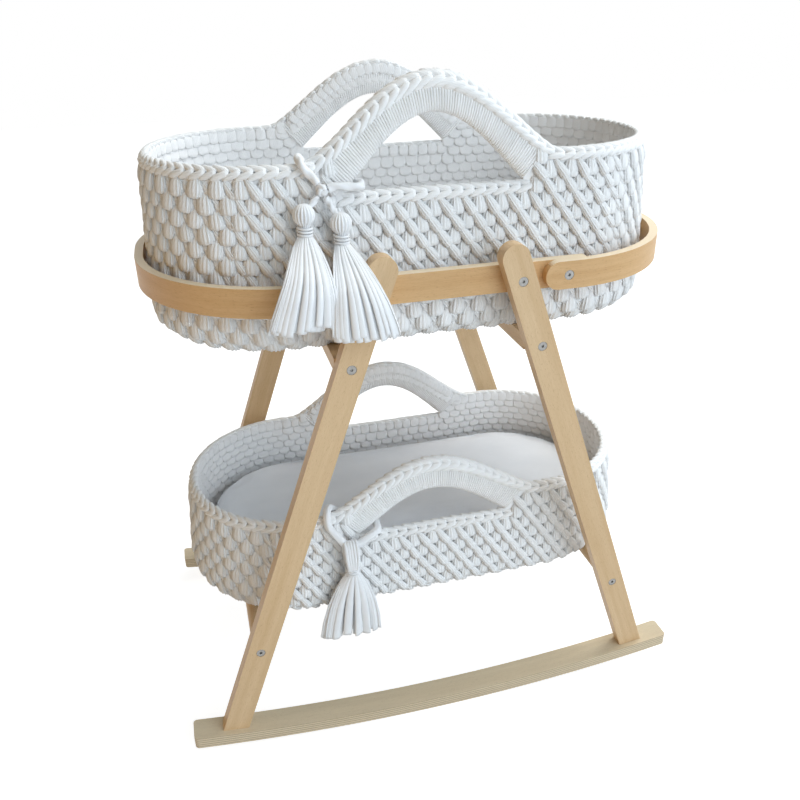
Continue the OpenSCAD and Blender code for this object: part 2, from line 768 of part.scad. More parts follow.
module outer_tassel_tail() { tassel_tail(upper_knot, outer_ball_place, upper_ball, upper_cord); }
module outer_tassel_ball() { tassel_ball(outer_ball_place, upper_ball); }
module outer_tassel_binding() { tassel_binding(outer_ball_place, upper_ball); }
module outer_tassel_skirt() {
    tassel_skirt(outer_ball_place, upper_ball, upper_skirt, skirt_reach, -outer_fall);
}
module inner_tassel_tail() { tassel_tail(upper_knot, inner_ball_place, upper_ball, upper_cord); }
module inner_tassel_ball() { tassel_ball(inner_ball_place, upper_ball); }
module inner_tassel_binding() { tassel_binding(inner_ball_place, upper_ball); }
module inner_tassel_skirt() {
    tassel_skirt(inner_ball_place, upper_ball, upper_skirt, skirt_reach, inner_fall);
}
module lower_basket_shell() { basket_shell(lower_base, lower_basket_height, lower_rises); }
module lower_base_board() { base_board(lower_base); }
module lower_mattress() { mattress(lower_base); }
module lower_tassel_cord() { tassel_cord(lower_cord_route, lower_knot, lower_cord); }
module lower_tassel_ball() { tassel_ball(lower_ball_place, lower_ball); }
module lower_tassel_binding() { tassel_binding(lower_ball_place, lower_ball); }
module lower_tassel_skirt() { tassel_skirt(lower_ball_place, lower_ball, lower_skirt, 0, 0); }

front_rocker();
rear_rocker();
front_left_leg();
front_right_leg();
rear_left_leg();
rear_right_leg();
front_rail();
rear_rail();
left_hoop();
right_hoop();
upper_left_crossbar();
upper_right_crossbar();
lower_left_crossbar();
lower_right_crossbar();
leg_bolts();
hoop_bolts();
crossbar_bolts();
sleeve_nuts();
barrel_nuts();
rocker_screws();
upper_basket_shell();
upper_base_board();
upper_mattress();
upper_tassel_cord();
outer_tassel_tail();
outer_tassel_ball();
outer_tassel_binding();
outer_tassel_skirt();
inner_tassel_tail();
inner_tassel_ball();
inner_tassel_binding();
inner_tassel_skirt();
lower_basket_shell();
lower_base_board();
lower_mattress();
lower_tassel_cord();
lower_tassel_ball();
lower_tassel_binding();
lower_tassel_skirt();
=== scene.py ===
import json
import math
import bmesh
import bpy
import numpy as np
from mathutils import Matrix, Vector
from mathutils.bvhtree import BVHTree

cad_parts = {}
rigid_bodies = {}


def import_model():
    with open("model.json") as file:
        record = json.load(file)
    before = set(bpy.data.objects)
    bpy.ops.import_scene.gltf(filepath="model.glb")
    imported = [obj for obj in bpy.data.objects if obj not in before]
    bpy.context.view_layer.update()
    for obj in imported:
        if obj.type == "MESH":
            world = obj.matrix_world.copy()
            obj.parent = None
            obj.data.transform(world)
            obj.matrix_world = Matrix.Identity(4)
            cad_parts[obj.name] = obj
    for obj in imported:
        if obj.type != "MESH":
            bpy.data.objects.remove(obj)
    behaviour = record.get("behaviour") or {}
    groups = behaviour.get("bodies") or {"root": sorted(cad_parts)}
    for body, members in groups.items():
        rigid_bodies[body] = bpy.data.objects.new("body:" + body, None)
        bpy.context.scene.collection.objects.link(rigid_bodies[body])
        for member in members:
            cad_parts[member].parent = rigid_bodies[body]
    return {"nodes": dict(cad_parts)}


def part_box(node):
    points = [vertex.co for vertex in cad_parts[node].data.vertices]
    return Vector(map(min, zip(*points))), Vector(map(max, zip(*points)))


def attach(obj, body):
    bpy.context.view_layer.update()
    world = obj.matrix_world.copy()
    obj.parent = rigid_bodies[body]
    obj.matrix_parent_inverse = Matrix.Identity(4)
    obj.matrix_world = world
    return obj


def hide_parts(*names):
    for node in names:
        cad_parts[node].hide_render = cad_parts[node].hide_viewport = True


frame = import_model()
nodes = frame["nodes"]
scene = bpy.context.scene
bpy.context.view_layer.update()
mm = 0.001
fullTurn = 2 * math.pi
print("frame loaded")


# A dictionary of settings that are read by name
class Settings(dict):
    __getattr__ = dict.__getitem__


# Lengths given in millimetres
def lengths(**values):
    return {key: tuple(v * mm for v in value) if isinstance(value, tuple) else value * mm
            for key, value in values.items()}


def setAll(thing, **values):
    for key, value in values.items():
        setattr(thing, key, value)
    return thing


def linked(name, data):
    obj = bpy.data.objects.new(name, data)
    scene.collection.objects.link(obj)
    return obj


# The photograph's camera
cameraSettings = Settings(
    place=(-0.3102, -1.1415, 1.0473), yaw=-14.908, pitch=26.958, roll=-0.876, lens=36, sensor=36)


def makeCamera(s):
    data = setAll(bpy.data.cameras.new("camera"), lens=s.lens, sensor_width=s.sensor, sensor_fit="HORIZONTAL")
    turns = ((s.yaw, "Z"), (90 - s.pitch, "X"), (s.roll, "Z"))
    yaw, pitch, roll = (Matrix.Rotation(math.radians(angle), 4, axis) for angle, axis in turns)
    scene.camera = linked("camera", data)
    scene.camera.matrix_world = Matrix.Translation(s.place) @ yaw @ pitch @ roll


makeCamera(cameraSettings)


# Gives a node's inputs their values, or links them to sockets or to the first outputs of nodes
def setInputs(tree, node, inputs):
    for key, value in inputs.items():
        if isinstance(value, bpy.types.Node):
            value = value.outputs[0]
        if isinstance(value, bpy.types.NodeSocket):
            tree.links.new(value, node.inputs[key])
        else:
            node.inputs[key].default_value = value


def addNode(tree, kind, inputs=None, **values):
    node = setAll(tree.nodes.new(kind), **values)
    setInputs(tree, node, inputs or {})
    return node


def mathNode(tree, kind, *values):
    return addNode(tree, "ShaderNodeMath", dict(enumerate(values)), operation=kind)


def hexColour(text):
    parts = [int(text[i:i + 2], 16) / 255 for i in (1, 3, 5)]
    return tuple(c / 12.92 if c <= 0.04045 else ((c + 0.055) / 1.055) ** 2.4 for c in parts) + (1.0,)


def newMesh(name, verts, faces, uv=None):
    mesh = bpy.data.meshes.new(name)
    mesh.from_pydata(np.reshape(verts, (-1, 3)).tolist(), [], faces)
    if uv is not None:
        layer = mesh.uv_layers.new(name="UVMap")
        loops = np.zeros(len(mesh.loops), dtype=np.int32)
        mesh.loops.foreach_get("vertex_index", loops)
        layer.data.foreach_set("uv", np.reshape(uv, (-1, 2)).astype(np.float32)[loops].ravel())
    mesh.polygons.foreach_set("use_smooth", np.ones(len(mesh.polygons), dtype=bool))
    return mesh


def newMaterial(name):
    material = bpy.data.materials.new(name)
    material.use_nodes = True
    return material, material.node_tree, material.node_tree.nodes["Principled BSDF"]


def objectPlace(tree):
    return addNode(tree, "ShaderNodeTexCoord").outputs["Object"]


def scaledPlace(tree, vector, sizes):
    return addNode(tree, "ShaderNodeVectorMath", {0: vector, 1: sizes}, operation="DIVIDE")


def splitAxes(tree, vector):
    return addNode(tree, "ShaderNodeSeparateXYZ", {0: vector}).outputs


def noiseAt(tree, vector, sizes, detail=2.0):
    place = scaledPlace(tree, vector, sizes)
    return addNode(tree, "ShaderNodeTexNoise", {"Vector": place, "Scale": 1.0, "Detail": detail})


def mixed(tree, share, *ends):
    first, last = (hexColour(c) if isinstance(c, str) else c for c in ends)
    return addNode(tree, "ShaderNodeMix", {"Factor": share, 6: first, 7: last}, data_type="RGBA").outputs[2]


def between(tree, value, low, high, first=0.0, last=1.0):
    return addNode(tree, "ShaderNodeMapRange", {0: value, 1: low, 2: high, 3: first, 4: last})


def bumped(tree, height, s):
    return addNode(tree, "ShaderNodeBump", {"Height": height, "Strength": s.bump, "Distance": s.deep})


# The distance from an axis, by the two coordinates across it
def farFrom(tree, a, b):
    return mathNode(tree, "SQRT", mathNode(tree, "MULTIPLY_ADD", a, a, mathNode(tree, "MULTIPLY", b, b)))


# All cotton: a matt face with a little sheen
clothShine = {"Sheen Weight": 0.2, "Specular IOR Level": 0.15}
# White cotton yarn: soft threads with a fine twist, a fuzz and faint tone changes
yarnSettings = Settings(
    lengths(ply=1.7, twist=6, deep=0.6, fuzz=1.1, cloud=22), name="cotton_yarn", light="#F8F7F6",
    dark="#ECEBEA", plies=0.35, bump=0.35, rough=0.92)
# Cotton strips of the tassels and cords: whiter and smoother, with fine ribs along them
stripSettings = Settings(
    yarnSettings, name="cotton_strip", light="#F4F4F4", dark="#E8E8EA", ply=1.3 * mm, twist=60 * mm,
    plies=0.08, bump=0.2)


def makeYarn(s):
    material, tree, shader = newMaterial(s.name)
    place = objectPlace(tree)
    u, v, _ = splitAxes(tree, addNode(tree, "ShaderNodeUVMap", uv_map="UVMap"))
    across = mathNode(tree, "MULTIPLY", u, fullTurn / s.ply)
    along = mathNode(tree, "MULTIPLY_ADD", v, fullTurn / s.twist, across)
    fuzz = noiseAt(tree, place, (s.fuzz,) * 3, 3.0)
    height = mathNode(tree, "MULTIPLY_ADD", mathNode(tree, "SINE", along), s.plies, fuzz)
    colour = mixed(tree, noiseAt(tree, place, (s.cloud,) * 3), s.dark, s.light)
    setInputs(tree, shader, {"Base Color": colour, "Roughness": s.rough, "Normal": bumped(tree, height, s),
                             **clothShine})
    return material


yarnMaterial = makeYarn(yarnSettings)
stripMaterial = makeYarn(stripSettings)

# Every grain: broad bands, fine fibres and short flecks, each with its sizes along and across the grain.
# Facing is the range of upward facing over which a painted highlight on top faces fades in, where a timber
# has a top colour
grainSettings = Settings(
    lengths(bands=(350, 11, 11), fibres=(26, 0.9, 0.9), spots=(4.5, 0.7, 0.7), deep=0.12), bandShare=0.65,
    fibreShare=0.45, tones=(0.3, 0.8), flecks=(0.62, 0.74, 0.0, 0.45), polish=(0.2, 0.8), smoother=0.06,
    rougher=0.12, bump=0.35, gloss=0.4, facing=(0.7, 0.95, 0.0, 0.85))
# Beech: pale tan under a satin lacquer
beechSettings = Settings(light="#DEC19A", dark="#CAA87D", fleck="#AA835A", rough=0.42)
# Bent strips of the ring: the same timber, a little more golden, with a painted highlight that makes the
# faces turned up paler, as if lit from above
bentSettings = Settings(
    light="#DAB484", dark="#C39762", fleck="#9F7444", rough=0.42, top="#EEDDC0", bend=176 * mm,
    radius=208 * mm)
# Rockers and boards: thin layers of changing tone, with a line of glue that fades in each
layerSettings = Settings(tone=0.45, line=(0.12, 0.24, 0.9, 0.0))
rockerSettings = Settings(
    layerSettings, light="#DECDB0", dark="#C9B698", fleck="#9A8563", rough=0.5, radius=2.85, start=1 * mm,
    layer=4 * mm, glue="#7A6242", pale="#D8C9AC")
plywoodSettings = Settings(
    layerSettings, light="#D9C29B", dark="#C4A878", fleck="#AE8F60", rough=0.6, layer=1.5 * mm,
    glue="#8F744A", pale="#E2CFAB")


# Grain along a turned timber
def turnedGrain(*turn):
    return lambda tree: addNode(tree, "ShaderNodeMapping", {"Vector": objectPlace(tree), "Rotation": turn},
                                vector_type="TEXTURE")


# Grain round a bend in the ring's plane
def ringGrain(tree):
    x, y, z = splitAxes(tree, objectPlace(tree))
    out = mathNode(tree, "SUBTRACT", mathNode(tree, "ABSOLUTE", x), bentSettings.bend)
    turn = mathNode(tree, "MULTIPLY", mathNode(tree, "ARCTAN2", y, out), bentSettings.radius)
    return addNode(tree, "ShaderNodeCombineXYZ", {0: turn, 1: farFrom(tree, out, y), 2: z})


def layered(tree, colour, height, s):
    number = mathNode(tree, "DIVIDE", height, s.layer)
    whole = mathNode(tree, "FLOOR", number)
    tone = addNode(tree, "ShaderNodeTexWhiteNoise", {"W": whole}, noise_dimensions="1D")
    colour = mixed(tree, mathNode(tree, "MULTIPLY", tone, s.tone), colour, s.pale)
    return mixed(tree, between(tree, mathNode(tree, "FRACT", number), *s.line), colour, s.glue)


def rockerLayers(tree, colour, s):
    x, _, z = splitAxes(tree, objectPlace(tree))
    far = farFrom(tree, mathNode(tree, "SUBTRACT", s.radius, z), x)
    return layered(tree, colour, mathNode(tree, "SUBTRACT", s.radius + s.start, far), s)


def boardLayers(tree, colour, s):
    return layered(tree, colour, splitAxes(tree, objectPlace(tree))[2], s)


def makeWood(name, s, grain, layers=None):
    g = grainSettings
    material, tree, shader = newMaterial(name)
    vector = grain(tree)
    bands, fibres, spots = (noiseAt(tree, vector, sizes, detail)
                            for sizes, detail in ((g.bands, 2.0), (g.fibres, 3.0), (g.spots, 1.0)))
    broad = mathNode(tree, "MULTIPLY", bands, g.bandShare)
    share = mathNode(tree, "MULTIPLY_ADD", fibres, g.fibreShare, broad)
    colour = mixed(tree, between(tree, share, *g.tones), s.dark, s.light)
    flecks = between(tree, spots, *g.flecks)
    colour = mixed(tree, flecks, colour, s.fleck)
    if layers:
        colour = layers(tree, colour, s)
    # Painted highlight: faces turned upward are mixed towards the pale top colour, as if lit from above
    if "top" in s:
        facing = splitAxes(tree, addNode(tree, "ShaderNodeNewGeometry").outputs["True Normal"])[2]
        colour = mixed(tree, between(tree, facing, *g.facing), colour, s.top)
    rough = between(tree, fibres, *g.polish, s.rough - g.smoother, s.rough + g.rougher)
    bump = bumped(tree, mathNode(tree, "SUBTRACT", fibres, flecks), g)
    setInputs(tree, shader, {"Base Color": colour, "Roughness": rough, "Normal": bump,
                             "Specular IOR Level": g.gloss})
    return material


# Zinc-plated steel: bright grey, faintly mottled, with turned scratches
steelSettings = Settings(
    lengths(cloud=(3, 3, 3), deep=0.05, scratch=(0.35, 4, 0.35)), light="#A8A7A4", dark="#7C7A77",
    polish=(0.3, 0.7, 0.22, 0.42), bump=0.3)


def makeSteel(s):
    material, tree, shader = newMaterial("zinc_steel")
    place = objectPlace(tree)
    cloud, scratch = noiseAt(tree, place, s.cloud, 3.0), noiseAt(tree, place, s.scratch)
    colour, rough = mixed(tree, cloud, s.dark, s.light), between(tree, scratch, *s.polish)
    setInputs(tree, shader, {"Base Color": colour, "Metallic": 1.0, "Roughness": rough,
                             "Normal": bumped(tree, scratch, s)})
    return material


# Mattress cover: close white cotton weave with a faint cool tone and soft creases, whose hollows are darkened
# by painted shade
coverSettings = Settings(
    lengths(weave=0.9, deep=4, crease=(70, 45, 60)), light="#EFF0F3", dark="#E0E2E7", threads=0.03,
    bump=0.35, rough=0.9)


def makeCover(s):
    material, tree, shader = newMaterial("mattress_cotton")
    place = objectPlace(tree)
    axes = splitAxes(tree, scaledPlace(tree, place, (s.weave / fullTurn,) * 3))
    x, y, z = (mathNode(tree, "SINE", axis) for axis in axes)
    threads = mathNode(tree, "ADD", mathNode(tree, "MULTIPLY", x, y), z)
    crease = noiseAt(tree, place, s.crease, 3.0)
    height = mathNode(tree, "MULTIPLY_ADD", threads, s.threads, crease)
    # The crease noise also sets the colour, darker where the creases dip: painted shade
    setInputs(tree, shader, {"Base Color": mixed(tree, crease, s.dark, s.light), "Roughness": s.rough,
                             "Normal": bumped(tree, height, s), **clothShine})
    return material


coverMaterial = makeCover(coverSettings)


# A tree of geometry nodes with its inputs, which ends in one mesh of one material
def newTree(name, **sockets):
    tree = bpy.data.node_groups.new(name, "GeometryNodeTree")
    for key, kind in dict(Geometry="Geometry", **sockets, Material="Material").items():
        tree.interface.new_socket(name=key, in_out="INPUT", socket_type="NodeSocket" + kind)
    tree.interface.new_socket(name="Geometry", in_out="OUTPUT", socket_type="NodeSocketGeometry")
    return tree, addNode(tree, "NodeGroupInput").outputs


def endTree(tree, geometry, material):
    real = addNode(tree, "GeometryNodeRealizeInstances", {0: geometry})
    dressed = addNode(tree, "GeometryNodeSetMaterial", {"Geometry": real, "Material": material})
    addNode(tree, "NodeGroupOutput", {0: dressed})
    return tree


# Stitches set on points that carry an outward and an upward direction and a size
def makeStitchTree():
    tree, given = newTree("stitches", Stitch="Object", Uneven="Float", Seed="Int")
    kinds = {"outward": "FLOAT_VECTOR", "upward": "FLOAT_VECTOR", "size": "FLOAT"}
    outward, upward, size = (addNode(tree, "GeometryNodeInputNamedAttribute", {"Name": name}, data_type=kind)
                             for name, kind in kinds.items())
    align = "FunctionNodeAlignRotationToVector"
    facing = addNode(tree, align, {"Vector": outward}, axis="Z")
    turned = addNode(tree, align, {"Rotation": facing, "Vector": upward}, axis="Y", pivot_axis="Z")
    least, most = (mathNode(tree, kind, 1.0, given["Uneven"]) for kind in ("SUBTRACT", "ADD"))
    chance = addNode(tree, "FunctionNodeRandomValue", {2: least, 3: most, "Seed": given["Seed"]},
                     data_type="FLOAT")
    shape = addNode(tree, "GeometryNodeObjectInfo", {"Object": given["Stitch"]})
    copies = addNode(tree, "GeometryNodeInstanceOnPoints",
                     {"Points": given["Geometry"], "Instance": shape.outputs["Geometry"], "Rotation": turned,
                      "Scale": mathNode(tree, "MULTIPLY", chance.outputs[1], size)})
    return endTree(tree, copies, given["Material"])


# A value that a curve's points carry on
def held(tree, geometry, value):
    node = addNode(tree, "GeometryNodeCaptureAttribute", {"Geometry": geometry})
    node.capture_items.new("FLOAT", "held")
    setInputs(tree, node, {"held": value})
    return node


# Yarn swept along paths: a profile of lobes that turns once in each lay length
def makeYarnTree():
    tree, given = newTree("swept_yarn", Width="Float", Thickness="Float", Sides="Int", Lobes="Float",
                          Depth="Float", Lay="Float")
    ring = addNode(tree, "GeometryNodeCurvePrimitiveCircle", {"Resolution": given["Sides"], "Radius": 0.5})
    around = addNode(tree, "GeometryNodeSplineParameter").outputs["Factor"]
    angle = mathNode(tree, "MULTIPLY", around, fullTurn)
    lobe = mathNode(tree, "COSINE", mathNode(tree, "MULTIPLY", angle, given["Lobes"]))
    swell = mathNode(tree, "MULTIPLY_ADD", lobe, given["Depth"], 1.0)
    wide, thick = (mathNode(tree, "MULTIPLY", swell, given[key]) for key in ("Width", "Thickness"))
    sizes = addNode(tree, "ShaderNodeCombineXYZ", {0: wide, 1: thick, 2: 1.0})
    place = addNode(tree, "GeometryNodeInputPosition")
    scaled = addNode(tree, "ShaderNodeVectorMath", {0: place, 1: sizes}, operation="MULTIPLY")
    profile = addNode(tree, "GeometryNodeSetPosition", {"Geometry": ring, "Position": scaled})
    girth = mathNode(tree, "MULTIPLY", mathNode(tree, "MULTIPLY", around, given["Width"]), math.pi)
    length = addNode(tree, "GeometryNodeSplineParameter").outputs["Length"]
    heldAround, heldAlong = held(tree, profile, girth), held(tree, given["Geometry"], length)
    tilt = mathNode(tree, "MULTIPLY", mathNode(tree, "DIVIDE", length, given["Lay"]), fullTurn)
    twisted = addNode(tree, "GeometryNodeSetCurveTilt", {"Curve": heldAlong, "Tilt": tilt})
    skin = addNode(tree, "GeometryNodeCurveToMesh",
                   {"Curve": twisted, "Profile Curve": heldAround, "Fill Caps": True})
    uv = addNode(tree, "ShaderNodeCombineXYZ", {0: heldAround.outputs["held"], 1: heldAlong.outputs["held"]})
    values = {"Geometry": skin, "Name": "UVMap", "Value": uv}
    mapped = addNode(tree, "GeometryNodeStoreNamedAttribute", values, data_type="FLOAT2", domain="CORNER")
    smooth = addNode(tree, "GeometryNodeSetShadeSmooth", {"Geometry": mapped})
    return endTree(tree, smooth, given["Material"])


stitchTree = makeStitchTree()
yarnTree = makeYarnTree()


def shownMesh(obj):
    graph = bpy.context.evaluated_depsgraph_get()
    return bpy.data.meshes.new_from_object(obj.evaluated_get(graph), depsgraph=graph)


# Applies an object's modifiers
def keepShape(obj):
    mesh = shownMesh(obj)
    obj.modifiers.clear()
    obj.data = mesh


# Runs a tree on a mesh or curve and keeps the result as an object with a plain mesh
def grown(data, tree, name, values):
    obj = linked(name + "_base", data)
    modifier = setAll(obj.modifiers.new("grow", "NODES"), node_group=tree)
    for socket in tree.interface.items_tree:
        if socket.name in values:
            modifier[socket.identifier] = values[socket.name]
    obj.update_tag()
    mesh = shownMesh(obj)
    bpy.data.batch_remove((obj, data))
    mesh.name = name
    return linked(name, mesh)


def settle(obj, body, *replaced, slot="cotton_yarn"):
    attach(obj, body)
    if replaced:
        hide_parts(*replaced)


# A yarn's section in millimetres: its width, sides, lobes and their depth, and the length of one turn
def yarnOf(width, sides, lobes=1, depth=0.0, lay=1000, thick=None):
    return {"Width": width * mm, "Thickness": (thick or width) * mm, "Sides": sides, "Lobes": float(lobes),
            "Depth": depth, "Lay": lay * mm}


def swept(name, paths, yarn, material, cyclic=False):
    curve = setAll(bpy.data.curves.new(name + "_path", "CURVE"), dimensions="3D",
                   twist_mode="Z_UP" if cyclic else "MINIMUM")
    for path in paths:
        spline = curve.splines.new("POLY")
        spline.points.add(len(path) - 1)
        points = np.column_stack([path, np.ones(len(path))])
        spline.points.foreach_set("co", points.astype(np.float32).ravel())
        spline.use_cyclic_u = cyclic
    return grown(curve, yarnTree, name, {**yarn, "Material": material})


# Small helpers for arrays: points from coordinates, unit vectors, equal shares of one turn
def points(*axes):
    return np.stack(np.broadcast_arrays(*axes), axis=-1)


def unit(vectors):
    return vectors / np.linalg.norm(vectors, axis=-1, keepdims=True)


def shares(count):
    return np.arange(count) / count


# Cosines and sines of angles, squared off by a power below one
def squaredOff(angle, power):
    return (np.copysign(np.abs(v) ** power, v) for v in (np.cos(angle), np.sin(angle)))


# The run from a path's start to each of its points, and values along it at some marks of that run
def runAlong(path):
    return np.concatenate([[0], np.cumsum(np.linalg.norm(np.diff(path, axis=0), axis=1))])


def valuesAt(marks, run, values):
    return points(*(np.interp(marks, run, column) for column in values.T))


# A smooth path through a route's points
def smoothPath(route, steps=4):
    parts = np.arange(len(route) - 1)
    a, b, c, d = (route[np.clip(parts + k, 0, len(parts)), None] for k in (-1, 0, 1, 2))
    t = shares(steps)[:, None]
    path = (b + t * (c - a) / 2 + t * t * (2 * a - 5 * b + 4 * c - d) / 2
            + t ** 3 * (3 * b - a - 3 * c + d) / 2)
    return np.vstack([path.reshape(-1, 3), route[-1:]])


# Rows of points as a closed skin with both ends capped
def loftFaces(rows, ring, start=0):
    faces = []
    for a in range(start, start + (rows - 1) * ring, ring):
        c = a + ring
        faces += [(a + k, c + k, c + (k + 1) % ring, a + (k + 1) % ring) for k in range(ring)]
    faces.append(tuple(start + k for k in range(ring)))
    faces.append(tuple(start + (rows - 1) * ring + k for k in reversed(range(ring))))
    return faces


# A closed skin with its faces turned outward
def closedSkin(name, verts, faces, uv=None, material=None):
    mesh = newMesh(name, verts, faces, uv)
    shape = bmesh.new()
    shape.from_mesh(mesh)
    bmesh.ops.recalc_face_normals(shape, faces=shape.faces)
    shape.to_mesh(mesh)
    shape.free()
    if material:
        mesh.materials.append(material)
    return linked(name, mesh)


# Knots: the steps of a trefoil, and its depth and width before it is sized
knotSettings = Settings(steps=72, deep=1.3, wide=6)
# Tassel cords round the left roots of the front handles, each ending in a knot
upperCordSettings = Settings(
    body="upper_basket", diameter=9 * mm, yarn=yarnOf(9.9, 16, 2, 0.13, 46),
    route=[(-153, -183, 846), (-157, -181, 852), (-165, -179, 861), (-170, -178, 868), (-171, -172, 872),
        (-171, -163, 873), (-169, -154, 872), (-164, -149, 865), (-150, -148, 855), (-120, -149, 846),
        (-102, -154, 841), (-97, -166, 840), (-99, -178, 839), (-112, -183, 840), (-130, -184, 842),
        (-141, -185, 840)],
    knot=(-148.1, -185.6, 838.7), knotSize=17 * mm, knotYarn=yarnOf(6, 10, 2, 0.1, 25))
lowerCordSettings = Settings(
    body="lower_basket", diameter=10 * mm, yarn=yarnOf(11.5, 20, 5, 0.07, 300),
    route=[(-144, -191, 318), (-150, -188, 325), (-159, -184, 337), (-165, -181, 347), (-167, -178, 357),
        (-166, -170, 364), (-162, -158, 364), (-155, -148, 358), (-138, -147, 343), (-114, -147, 333),
        (-98, -148, 329), (-91, -156, 328), (-90, -166, 328), (-92, -178, 327), (-102, -185, 325),
        (-120, -190, 318), (-131, -192, 314)],
    knot=(-137.4, -193.2, 311.7), knotSize=13 * mm, knotYarn=yarnOf(5.2, 10, 2, 0.1, 25))


# A cord, and its knot as a trefoil of thinner yarn
def makeCord(name, s):
    path = smoothPath(np.array(s.route) * mm)
    obj = swept(name + "_cord_yarn", [path], s.yarn, stripMaterial)
    settle(obj, s.body, name + "_tassel_cord")
    t = fullTurn * shares(knotSettings.steps)
    out = 2 + np.cos(3 * t)
    trefoil = points(out * np.cos(2 * t), knotSettings.deep * np.sin(3 * t), out * np.sin(2 * t))
    loop = trefoil * (s.knotSize - s.knotYarn["Width"]) / knotSettings.wide + np.array(s.knot) * mm
    knot = swept(name + "_cord_knot", [loop], s.knotYarn, stripMaterial, True)
    settle(knot, s.body)


makeCord("upper", upperCordSettings)
makeCord("lower", lowerCordSettings)

# Tassels: a ball of threads over a bound neck, and a skirt of cotton strips that drapes as its solid does.
# Drapes are the skirt's drop with its reach, width and thickness there. A layer has a count of strips, a
# share of the skirt's size and an uneven hem, a strip its widths at the neck and the hem and its thickness
tasselSettings = Settings(
    lengths(neck=14, size=27, winding=3.2, windingPitch=3.9, tailStart=9.5, tailSunk=1, thickness=20, lap=3,
    strip=(2.8, 10.5, 2.2)), pole=0.12, threads=18, ridges=(-0.16, -0.02, 0.02, -0.02), turns=3,
    windingYarn=yarnOf(3.072, 10, 2, 0.06, 20), tailYarn=yarnOf(7.56, 16, 2, 0.18, 26), ballRows=13,
    neckStart=0.9, neckRows=(0.6, 0.3, 0.0), windingSteps=30, tailSteps=14, smoothing=3, widening=0.8,
    rows=26, sides=10, cut=0.89, jitter=0.2, crowd=0.25, layers=[(30, 0.93, 0.1), (18, 0.55, 0.06)],
    twist=0.3, widths=(0.85, 1.1), curls=(0.1, 0.35),
    drapes=[(0, 0, 0, 0), (0.08, 0.18, 0.2, 0.2), (0.2, 0.54, 0.4, 0.4), (0.33, 0.84, 0.57, 0.6),
        (0.5, 0.97, 0.75, 0.8), (0.75, 1, 0.92, 0.95), (1, 1, 1, 1)])
outerTassel = Settings(
    tasselSettings, **lengths(drift=-23, reach=68, length=109, width=86), name="outer_tassel",
    ball=(-173.5, -194.6, 813.3), top=786.3, knot=upperCordSettings.knot, seed=21)
innerTassel = Settings(
    tasselSettings, **lengths(drift=15, reach=73, length=112, width=88), name="inner_tassel",
    ball=(-129.2, -194.6, 800.1), top=773.1, knot=upperCordSettings.knot, seed=22)
# The lower one hangs by a loop of strands, given by their places beside the ball's and by their spread there
lowerTassel = Settings(
    tasselSettings, **lengths(drift=-7, length=114, width=92, neck=17, strip=(4, 15, 2.6), spread=8.6),
    name="lower_tassel", ball=(-137.4, -202.2, 295.2), top=271.7, reach=0.0, cut=1.0, knot=None, seed=23,
    layers=[(22, 0.93, 0.05), (12, 0.5, 0.03)], strands=5, loopYarn=yarnOf(5.6, 10, thick=4.2),
    loop=[(-5.8, -25, 0.6), (-6.8, -13, 0.68), (-8.3, -2, 0.85), (-6.3, 9, 1), (-2.3, 19, 1), (2.7, 26, 1),
        (9, 28.5, 1), (15, 25.5, 1), (18.8, 17, 1), (17, 7, 0.95), (11, -4, 0.8), (6, -13, 0.68),
        (5.4, -25, 0.6)])


def sweptPiece(t, part, paths, yarn, node):
    settle(swept(t.name + part, paths, yarn, stripMaterial), t.name, t.name + node)


# A ball and its neck, turned from one outline with a ridge for each thread
def makeBall(t):
    half, centre = t.size / 2, np.array(t.ball) * mm
    low = centre[2] - t.top * mm
    lats = np.linspace(t.pole, math.pi - math.asin(t.neck / t.size), t.ballRows)
    neck = [(t.neck / 2, -low + (low - half * t.neckStart) * f) for f in t.neckRows]
    r, z = np.vstack([half * points(np.sin(lats), np.cos(lats)), neck]).T[:, :, None]
    ridges = np.tile(1 + np.array(t.ridges), t.threads)
    turn = fullTurn * shares(len(ridges))
    verts = points(r * ridges * np.cos(turn), r * ridges * np.sin(turn), z) + centre
    ball = closedSkin(t.name + "_threads", verts, loftFaces(len(r), len(turn)), points(half * turn, z),
                      stripMaterial)
    settle(ball, t.name, t.name + "_ball")


def makeBinding(t):
    low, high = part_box(t.name + "_binding")
    turn = np.linspace(0, fullTurn * t.turns, t.windingSteps * t.turns + 1)
    r = (t.neck + t.winding) / 2
    middle = (low + high) / 2
    path = points(middle.x + r * np.sin(turn), middle.y + r * np.cos(turn),
                  low.z + t.winding / 2 + t.windingPitch * turn / fullTurn)
    sweptPiece(t, "_winding", [path], t.windingYarn, "_binding")


# Strands that hang in a loop over the knot and come down into the bound neck
def makeLoop(t):
    y, z, share = np.array(t.loop).T
    centre = np.array(t.ball) * mm
    paths = [smoothPath(points(side * t.spread * share, y * mm, z * mm) + centre)
             for side in np.linspace(-1, 1, t.strands)]
    sweptPiece(t, "_loop", paths, t.loopYarn, "_ball")


def makeTail(t):
    start, end = np.array(t.knot) * mm, np.array(t.ball) * mm
    way = unit(end - start)
    path = np.linspace(start + way * t.tailStart, end - way * (t.size / 2 - t.tailSunk), t.tailSteps)
    sweptPiece(t, "_rope", [path], t.tailYarn, "_tail")


